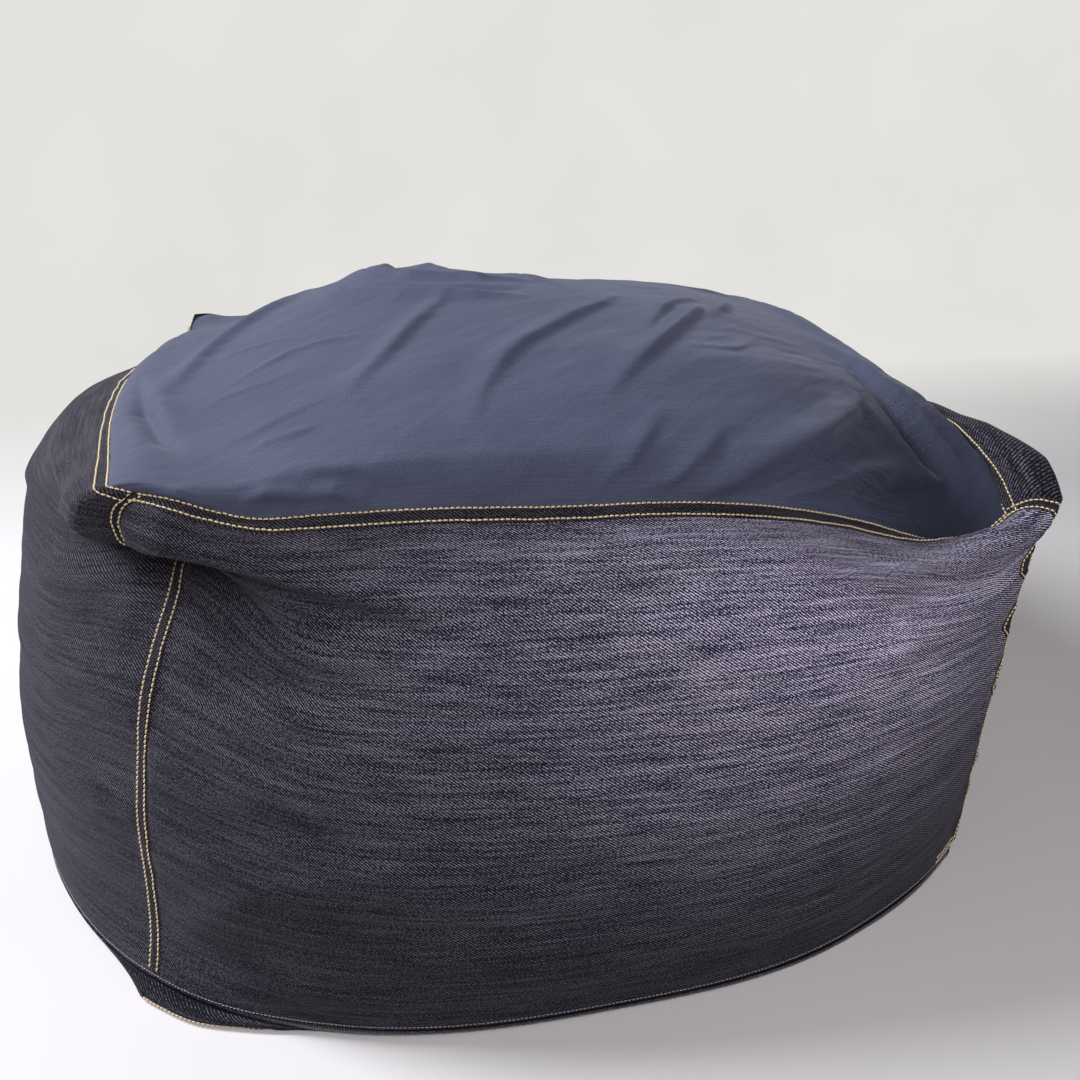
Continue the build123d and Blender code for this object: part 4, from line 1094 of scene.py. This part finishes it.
# The zip's middle line, its outward direction, and the downward direction across it
zip_line = joined([foot_line(side, "coil")[0] for side in ZIP_RUN])
zip_out = joined([HEM_OUT[side] for side in ZIP_RUN])
zip_down = joined([unit(foot_line(side, "strip")[0] - SIDES[side][:, 0]) for side in ZIP_RUN])
path = respaced(np.concatenate([zip_line, zip_out, zip_down], axis=1), zip_line, TOOTH_PITCH / 2)
trim = int(END_MARGIN / (TOOTH_PITCH / 2))
path = path[trim:-trim]
zip_along = unit(np.gradient(path[:, :3], axis=0))
zip_down = unit(path[:, 6:9])
zip_out = unit(np.cross(zip_down, zip_along))
zip_out *= np.sign((zip_out * path[:, 3:6]).sum(-1, keepdims=True))


def teeth(start, sign):
    """Bent nylon teeth of one coil: at every other place, hooked over the zip's middle, off the floor."""
    frames = (path[:, :3], zip_along, zip_down * sign, zip_out)
    centre, along, down, out = (values[start::2][:, None] for values in frames)
    bend = np.array(TOOTH_BENDS) * MM
    grid = centre + down * bend[:, :1] + out * bend[:, 1:]
    grid[..., 2] = np.maximum(grid[..., 2], 2 * TOOTH)
    heading = unit(np.gradient(grid, axis=1))
    across = np.broadcast_to(along, grid.shape)
    return rings(grid, across, unit(np.cross(heading, across)), TOOTH)


def coil_look():
    """Black nylon monofilament, moulded smooth: satin, with small bright glints on its bends, and a grey
    paler than the nylon painted in as highlight.
    """
    made, tree = material("black nylon zip coil, smooth monofilament")
    cloth = add(tree, "UVMap", uv_map="cloth")
    rub = grains(tree, cloth, (0.004, 0.004), 2)
    # Painted highlight: the coil's grey is paler than black nylon, standing in for its glints
    colour = add(tree, "ValToRGB", {"Fac": rub}, stops=[(0.3, "#2e2e34"), (0.7, "#5a5a62")])
    rough = add(tree, "MapRange", {"Value": rub, "To Min": 0.16, "To Max": 0.3})
    bump = add(tree, "Bump", {"Height": rub, "Strength": 0.1, "Distance": 0.0001})
    surface = {"Base Color": colour, "Roughness": rough, "Specular IOR Level": 0.7, "Normal": bump}
    glint = {"Coat Weight": 0.5, "Coat Roughness": 0.15}
    add(tree, "OutputMaterial", {"Surface": add(tree, "BsdfPrincipled", {**surface, **glint})})
    return made


coil_black = coil_look()
for name, start, sign in (("zip_coil_upper", 0, -1), ("zip_coil_lower", 1, 1)):
    dress(tube_object(f"{name}_teeth", teeth(start, sign)), coil_black, [name])

# Zip tapes: black polyester, woven in a herringbone. The upper one is sewn behind the hems and the lower one
# behind the gusset strips, and each carries its coil on its free edge.
TAPE = 0.0006
# How far a tape lies behind the cloth and in from the coil, its lowest height, where its rows lie up behind
# the hem and down behind the strip, and its width on the cloth
TAPE_BEHIND, TAPE_IN_COIL, TAPE_LOW = 0.0021, 0.0009, 0.0016
UPPER_STEPS, LOWER_STEPS = (0.0, 0.003, 0.0065), (0.0, 0.003, 0.0055)
TAPE_ON_CLOTH = 0.014
TAPE_RIB = 0.0008
TAPE_RIB_ANGLE = math.radians(40)


def tape_look():
    """Black polyester zip tape, woven herringbone: flat and dull with fine slanting ribs."""
    made, tree = material("black polyester zip tape, herringbone weave")
    cloth = add(tree, "UVMap", uv_map="cloth")
    rib = ribs(tree, cloth, TAPE_RIB, TAPE_RIB_ANGLE, {"Distortion": 0.4})
    dust = grains(tree, cloth, (0.01, 0.004), 3)
    tone = sums(tree, [(rib, 0.4), (dust, 0.6)], 0.5)
    colour = add(tree, "ValToRGB", {"Fac": tone}, stops=[(0.2, "#08080a"), (0.8, "#1a1a1f")])
    bump = add(tree, "Bump", {"Height": rib, "Strength": 0.5, "Distance": 0.0002})
    surface = {"Base Color": colour, "Roughness": 0.9, "Specular IOR Level": 0.2, "Normal": bump}
    add(tree, "OutputMaterial", {"Surface": add(tree, "BsdfPrincipled", surface)})
    return made


def tape_side(side, cloth, steps):
    """Rows of a tape along one side, from the coil to behind a grid of cloth with its normals."""
    coil, out = foot_line(side, "coil")
    behind, normals = (walk(a, steps) for a in cloth)
    hidden = behind - unit(normals) * TAPE_BEHIND
    lip = coil - out * TAPE_IN_COIL
    rows = np.concatenate([np.stack([lip, (hidden[:, 0] + lip) / 2], 1), hidden], axis=1)
    rows[..., 2] = np.maximum(rows[..., 2], TAPE_LOW)
    return rows


hems = {side: (SIDES[side], outward(SIDES[side])) for side in ZIP_RUN}
strips = {side: (STRIPS[side][:, ::-1], outward(STRIPS[side])[:, ::-1]) for side in ZIP_RUN}
tapes = {
    "zip_tape_upper": joined([tape_side(side, hems[side], UPPER_STEPS) for side in ZIP_RUN]),
    "zip_tape_lower": joined([tape_side(side, strips[side], LOWER_STEPS) for side in ZIP_RUN])[:, ::-1],
}
tape_black = tape_look()
tape_length = len(ZIP_RUN) * PANEL_WIDTH
for name, rows in tapes.items():
    places = cloth_places(*rows.shape[:2], tape_length, TAPE_ON_CLOTH)
    tape = cloth_piece(f"{name}_weave", rows, TAPE, places)
    dress(tape, tape_black, [name])

# Hem stitching: one row of thin grey thread along the hems of the back, left and front sides, 2 mm above
# their edges, that holds the denim to the upper zip tape.
HEM_ROW = 0.0022
hem_grey = thread_look("thin grey sewing thread, twisted polyester", "#6f6c72", "#a3a0a6", "#d2ced2")
hem_lines = [[walk(a, (HEM_ROW,))[:, 0] for a in hems[side]] for side in ZIP_RUN]
thread_piece("zip_hem_thread", hem_lines, hem_grey, "hem_thread", ["zip_hem_stitching"],
             pitch=0.0028, gap=0.0008, radius=0.00026)

# Zip slider, pull tab and stops: die-cast metal, painted black, worn on its edges. The slider, its tab and
# the top stops are shown by their own solids. The end stop is crimped on the coil at the front right.

# Size of the specks in the paint and its wear
ENAMEL_SPECK = 1 / 700


def zip_metal_look():
    """Black enamelled zinc, die-cast: satin paint with rubbed, brighter edges."""
    made, tree = material("black enamelled zinc, die-cast")
    place = add(tree, "TexCoord", output="Object")
    speck = add(tree, "TexNoise", {"Vector": place, "Scale": 1 / ENAMEL_SPECK, "Detail": 3.0}, "Fac")
    edge = add(tree, "NewGeometry", output="Pointiness")
    rub = add(tree, "MapRange", {"Value": edge, "From Min": 0.50, "From Max": 0.56})
    wear = add(tree, "Math", {0: rub, 1: speck}, operation="MULTIPLY")
    colour = add(tree, "ValToRGB", {"Fac": wear}, stops=[(0.1, "#17171a"), (0.6, "#4b4b50")])
    rough = add(tree, "MapRange", {"Value": speck, "To Min": 0.3, "To Max": 0.5})
    bump = add(tree, "Bump", {"Height": speck, "Strength": 0.08, "Distance": 0.0001})
    surface = {"Base Color": colour, "Roughness": rough, "Metallic": 0.35, "Normal": bump}
    paint = {"Coat Weight": 0.3, "Coat Roughness": 0.25}
    add(tree, "OutputMaterial", {"Surface": add(tree, "BsdfPrincipled", {**surface, **paint})})
    return made


zip_black = zip_metal_look()
for name in ("zip_slider", "zip_pull_tab", "zip_top_stops"):
    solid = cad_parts[name]
    solid.data.materials.clear()
    solid.data.materials.append(zip_black)

# Half sizes of the end stop along, across and out; places along it and its girth there, as shares of them
STOP_HALF = (0.0013, 0.0034, 0.0014)
STOP_SHAPE = ((-1, 0.8), (-0.8, 1.0), (-0.25, 0.93), (0.25, 0.93), (0.8, 1.0), (1, 0.8))
# Points round it, and how square it is: 1 is round, less is squarer
STOP_SIDES = 24
STOP_SQUARE = 0.45


def crimped_stop():
    """A small sleeve with rounded edges, crimped round the last teeth."""
    centre, along, down, out = path[-1, :3], zip_along[-1], zip_down[-1], zip_out[-1]
    turn = np.linspace(0, 2 * math.pi, STOP_SIDES, endpoint=False)
    wide, deep = (np.sign(f(turn)) * np.abs(f(turn)) ** STOP_SQUARE for f in (np.cos, np.sin))
    outline = down * (wide[:, None] * STOP_HALF[1]) + out * (deep[:, None] * STOP_HALF[2])
    return np.array([centre + along * (at * STOP_HALF[0]) + outline * girth for at, girth in STOP_SHAPE])


dress(tube_object("zip_end_crimp", crimped_stop()[None]), zip_black, ["zip_end_stop"])

# Liner: an inner bag of thin white plain-weave cotton, a little larger than the beads and a little smaller
# than the cover, sewn shut along a seam on its base.
LINER_GAP = 0.009
LINER_CLOTH = 0.0006
LINER_LINES = 49
LINER_SIDE = (0.64, 0.38)
LINER_TOP = (0.64, 0.64)
LINER_BASE = (0.69, 0.69)
COTTON_YARN, COTTON_SLUB = 0.0005, 0.02


def liner_look():
    """White cotton lining, plain weave: fine square threads with small slubs."""
    made, tree = material("white cotton lining, plain weave")
    cloth = add(tree, "UVMap", uv_map="cloth")
    warp = grains(tree, cloth, (COTTON_YARN, COTTON_SLUB), 1)
    weft = grains(tree, cloth, (COTTON_SLUB, COTTON_YARN), 1)
    tone = sums(tree, [(warp, 0.5), (weft, 0.5)], 0.5)
    colour = add(tree, "ValToRGB", {"Fac": tone}, stops=[(0.2, "#cfccc4"), (0.8, "#ebe8e1")])
    bump = add(tree, "Bump", {"Height": tone, "Strength": 0.3, "Distance": 0.0002})
    skin = add(tree, "BsdfPrincipled", {"Base Color": colour, "Roughness": 0.9, "Normal": bump})
    add(tree, "OutputMaterial", {"Surface": skin})
    return made


# A height above the whole bag
ABOVE = 1.0
knit_tree = BVHTree.FromPolygons(TOP.reshape(-1, 3).tolist(), grid_quads(TOP_LINES, TOP_LINES)[0].tolist())


def drawn_in(grid, gap, shrink):
    """A grid moved in from the cover, along its normals and towards the axis, and kept below the knit."""
    shrinks = np.stack([shrink, shrink, np.ones_like(shrink)], -1)
    flat = ((grid - outward(grid) * gap) * shrinks).reshape(-1, 3)
    for point in flat:
        hit = knit_tree.ray_cast((point[0], point[1], ABOVE), (0, 0, -1))[0]
        if hit is not None:
            point[2] = min(point[2], hit.z - gap)
    return flat.reshape(grid.shape)


lining = liner_look()


def liner_piece(name, grid, thickness, places, **soft):
    """A panel of the liner, in the place of its solid."""
    panel = dress(cloth_piece(f"{name}_cotton", grid, thickness, places), lining, [name])


# Sides and top lie a little deeper than the gap, and are shrunk to a share of their distance from the axis.
# The sides lean in further from a level up to their rim.
SIDE_DEEPER, SIDE_SHRUNK = 0.003, 0.985
LEAN_IN, LEAN_FROM = 0.05, 0.7
LINER_FOOT, LINER_RIM, LINER_EDGE = 0.03, 0.93, 0.02
TOP_DEEPER, TOP_SHRUNK = 0.002, 0.965
across = np.linspace(LINER_EDGE, 1 - LINER_EDGE, LINER_LINES)
u, v = np.meshgrid(across, np.linspace(LINER_FOOT, LINER_RIM, LINER_LINES), indexing="ij")
shrink = SIDE_SHRUNK - LEAN_IN * ease(LEAN_FROM, LINER_RIM, v)
places = cloth_places(LINER_LINES, LINER_LINES, *LINER_SIDE)
for side in ENDS:
    inner = drawn_in(side_at(side, u, v), LINER_GAP + SIDE_DEEPER, shrink)
    liner_piece(f"liner_{side}", inner, LINER_CLOTH, places,
                flat=LINER_SIDE, held="stretched", rests_on=["bead_filling"])
k = np.linspace(0, TOP_LINES - 1, LINER_LINES).round().astype(int)
inner = top_at(top_s[np.ix_(k, k)], top_t[np.ix_(k, k)])
inner = drawn_in(inner, LINER_GAP + TOP_DEEPER, np.full(inner.shape[:2], TOP_SHRUNK))
liner_piece("liner_top", inner, LINER_CLOTH, cloth_places(LINER_LINES, LINER_LINES, *LINER_TOP),
            flat=LINER_TOP, held="stretched", rests_on=["bead_filling"])

# The liner's base lies on the cover's, in from its edge; the filling seam is a puckered ridge on it
BASE_SHRUNK, BASE_GAP = 0.97, 0.0022
BASE_ON_CLOTH = (0.66, 0.66)
inner = base_rows[::2, ::2] * [BASE_SHRUNK, BASE_SHRUNK, 1] + [0, 0, BASE_GAP]
liner_piece("liner_base", inner, LINER_CLOTH, cloth_places(*inner.shape[:2], *BASE_ON_CLOTH),
            flat=LINER_BASE, held="laid", rests_on=["base_panel"])
RIDGE_UP, RIDGE_PUCKER, PUCKERS_PER_METRE = 0.0048, 0.0006, 900
RIDGE_CLOTH, RIDGE_WIDTH = 0.0008, 0.0105
RIDGE_POINTS = (41, 7)
low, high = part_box("liner_filling_seam")
x, y = np.meshgrid(*(np.linspace(low[k], high[k], RIDGE_POINTS[k]) for k in (0, 1)), indexing="ij")
ridge = np.stack([x, y, RIDGE_UP + RIDGE_PUCKER * np.sin(x * PUCKERS_PER_METRE)], -1)
liner_piece("liner_filling_seam", ridge, RIDGE_CLOTH, ridge[..., :2],
            flat=(high[0] - low[0], RIDGE_WIDTH), held="folded", rests_on=["liner_base"])

# Filling: expanded polystyrene beads two to three millimetres across, poured in through the liner's base
# before its seam is sewn shut. They are one loose heap that takes the shape of the liner.

# How far in from the cover the heap lies, and the size of a bead
BEAD_GAP = 0.022
BEAD = 1 / 420
# Levels of the heap's rings up the sides, shares of the way in over the top and under the base, and shares of
# a side's width at the points of a ring
WALL_RINGS = np.linspace(0.06, 0.76, 24)
TOP_RINGS = np.linspace(0.14, 0.97, 16)
FOOT_RINGS = (0.97, 0.6, 0.3, 0.08)
RING_SHARES = np.linspace(0.02, 0.98, 40)
HEAP_FOOT = 0.008
LEVEL_NEAR = 0.01


def bead_look():
    """White expanded polystyrene beads, loose: small round grains, with painted shade in the gaps between
    them.
    """
    made, tree = material("white expanded polystyrene beads, loose")
    place = add(tree, "TexCoord", output="Object")
    grain = add(tree, "TexVoronoi", {"Vector": place, "Scale": 1 / BEAD}, "Distance")
    # Painted shade: darker away from each bead's middle, in the gaps between beads
    colour = add(tree, "ValToRGB", {"Fac": grain}, stops=[(0.3, "#f1f0ed"), (0.75, "#b9b7b1")])
    domes = add(tree, "Math", {0: 1.0, 1: grain}, operation="SUBTRACT")
    bump = add(tree, "Bump", {"Height": domes, "Strength": 0.8, "Distance": 0.0012})
    skin = add(tree, "BsdfPrincipled", {"Base Color": colour, "Roughness": 0.7, "Normal": bump})
    add(tree, "OutputMaterial", {"Surface": skin})
    return made


def heap():
    """Rings of the beads' closed skin: out over the base, up to the rim, then shrinking over the top."""
    wall = []
    for level in WALL_RINGS:
        levels = [level - LEVEL_NEAR, level, level + LEVEL_NEAR]
        u, v = np.meshgrid(RING_SHARES, levels, indexing="ij")
        shrink = np.full(u.shape, SIDE_SHRUNK)
        wall.append(np.concatenate([drawn_in(side_at(side, u, v), BEAD_GAP, shrink)[:, 1] for side in ENDS]))
    k, one = RING_SHARES, np.ones_like(RING_SHARES)
    runs = ((k, 0 * one), (one, k), (1 - k, one), (0 * one, 1 - k))
    square = np.concatenate([np.stack(run, -1) for run in runs])
    top = [top_at(*(0.5 + (square - 0.5) * (1 - share)).T) - [0, 0, BEAD_GAP] for share in TOP_RINGS]
    foot = [wall[0] * [1 - share, 1 - share, 0] + [0, 0, HEAP_FOOT] for share in FOOT_RINGS]
    return np.array(foot + wall + top)


skin = heap()
points = skin.reshape(-1, 3)
quads, fans = tube_faces(*skin.shape[:2])
beads = mesh_object("bead_heap", points, quads, points[:, :2], fans)
dress(beads, bead_look(), ["bead_filling"])

# Stage: a pale floor that curves up into a pale wall, daylight from a window on the left, a large soft lamp
# from the front, and even light from all round.
WALL_AT = 1.9
COVE = 0.7
COVE_STEPS = 25
FLOOR_FRONT = -4.0
WALL_TOP = 4.0
STAGE_WIDTH = 9.0
# Size of the patches in the paint
MOTTLE = 1 / 3
# Depths between which the floor, seen by the light on it, turns to wall that is seen at one even paleness
EVEN_FROM, EVEN_TO = 0.5, 1.3


def stage_look():
    """Matt pale paint, rolled: even, with the faintest mottle. It throws back darker, browner light."""
    made, tree = material("pale matt wall paint, rolled")
    place = add(tree, "TexCoord", output="Object")
    mottle = add(tree, "TexNoise", {"Vector": place, "Scale": 1 / MOTTLE, "Detail": 2.0}, "Fac")
    seen = add(tree, "ValToRGB", {"Fac": mottle}, stops=[(0.3, "#e2e0dc"), (0.7, "#e6e4e1")])
    shown = add(tree, "LightPath", output="Is Camera Ray")
    for ray in ("Is Glossy Ray", "Is Transmission Ray"):
        shown = add(tree, "Math", {0: shown, 1: add(tree, "LightPath", output=ray)}, operation="MAXIMUM")
    colour = add(tree, "Mix", {"Factor": shown, 6: linear("#665c55"), 7: seen}, 2, data_type="RGBA")
    skin = add(tree, "BsdfPrincipled", {"Base Color": colour, "Roughness": 0.85, "Specular IOR Level": 0.2})
    depth = add(tree, "SeparateXYZ", {"Vector": place}, "Y")
    behind = add(tree, "MapRange", {"Value": depth, "From Min": EVEN_FROM, "From Max": EVEN_TO})
    even = add(tree, "Math", {0: behind, 1: shown}, operation="MULTIPLY")
    glow = add(tree, "Emission", {"Color": seen, "Strength": 1.0})
    add(tree, "OutputMaterial", {"Surface": add(tree, "MixShader", {0: even, 1: skin, 2: glow})})
    return made


turn = np.linspace(0, math.pi / 2, COVE_STEPS)
profile = [(WALL_AT - COVE + COVE * math.sin(a), COVE - COVE * math.cos(a)) for a in turn]
profile = [(FLOOR_FRONT, 0.0)] + profile + [(WALL_AT, WALL_TOP)]
rows = np.array([[(x, y, z) for y, z in profile] for x in (-STAGE_WIDTH / 2, STAGE_WIDTH / 2)])
backdrop = mesh_object("backdrop", rows.reshape(-1, 3), grid_quads(2, len(profile))[0])
backdrop.data.materials.append(stage_look())


def soft_light(name, place, target, size, power, colour):
    """A round lamp that faces a target."""
    lamp = bpy.data.lights.new(name, "AREA")
    lamp.shape, lamp.size, lamp.energy, lamp.color = "DISK", size, power, linear(colour)[:3]
    holder = bpy.data.objects.new(name, lamp)
    bpy.context.scene.collection.objects.link(holder)
    x, y, z = np.array(target, float) - np.array(place, float)
    holder.location = place
    holder.rotation_euler = (math.atan2(math.hypot(x, y), -z), 0, math.atan2(-x, y))


soft_light("lamp", (-0.4, -2.15, 1.8), target=(0, 0, 0.2), size=1.3, power=40, colour="#fbf6fc")
soft_light("window", (-2.0, 0.6, 2.15), target=(0, 0, 0.25), size=1.1, power=96, colour="#f2f5ff")
world = bpy.data.worlds.new("soft room light")
bpy.context.scene.world = world
world.use_nodes = True
room_light = world.node_tree.nodes["Background"].inputs
room_light["Color"].default_value = linear("#eef0f4")
room_light["Strength"].default_value = 0.16

# Camera: a phone held half a metre above the floor, close in front of the bag and a little left of it, and
# tilted down. At any distance it takes in a width equal to that distance.
lens = bpy.data.cameras.new("phone")
lens.lens, lens.sensor_width = 36, 36
camera = bpy.data.objects.new("phone", lens)
bpy.context.scene.collection.objects.link(camera)
camera.location = (-0.184, -0.924, 0.562)
camera.rotation_euler = (math.radians(68), 0, math.radians(-13.8))
bpy.context.scene.camera = camera
bpy.context.scene.view_settings.view_transform = "Standard"
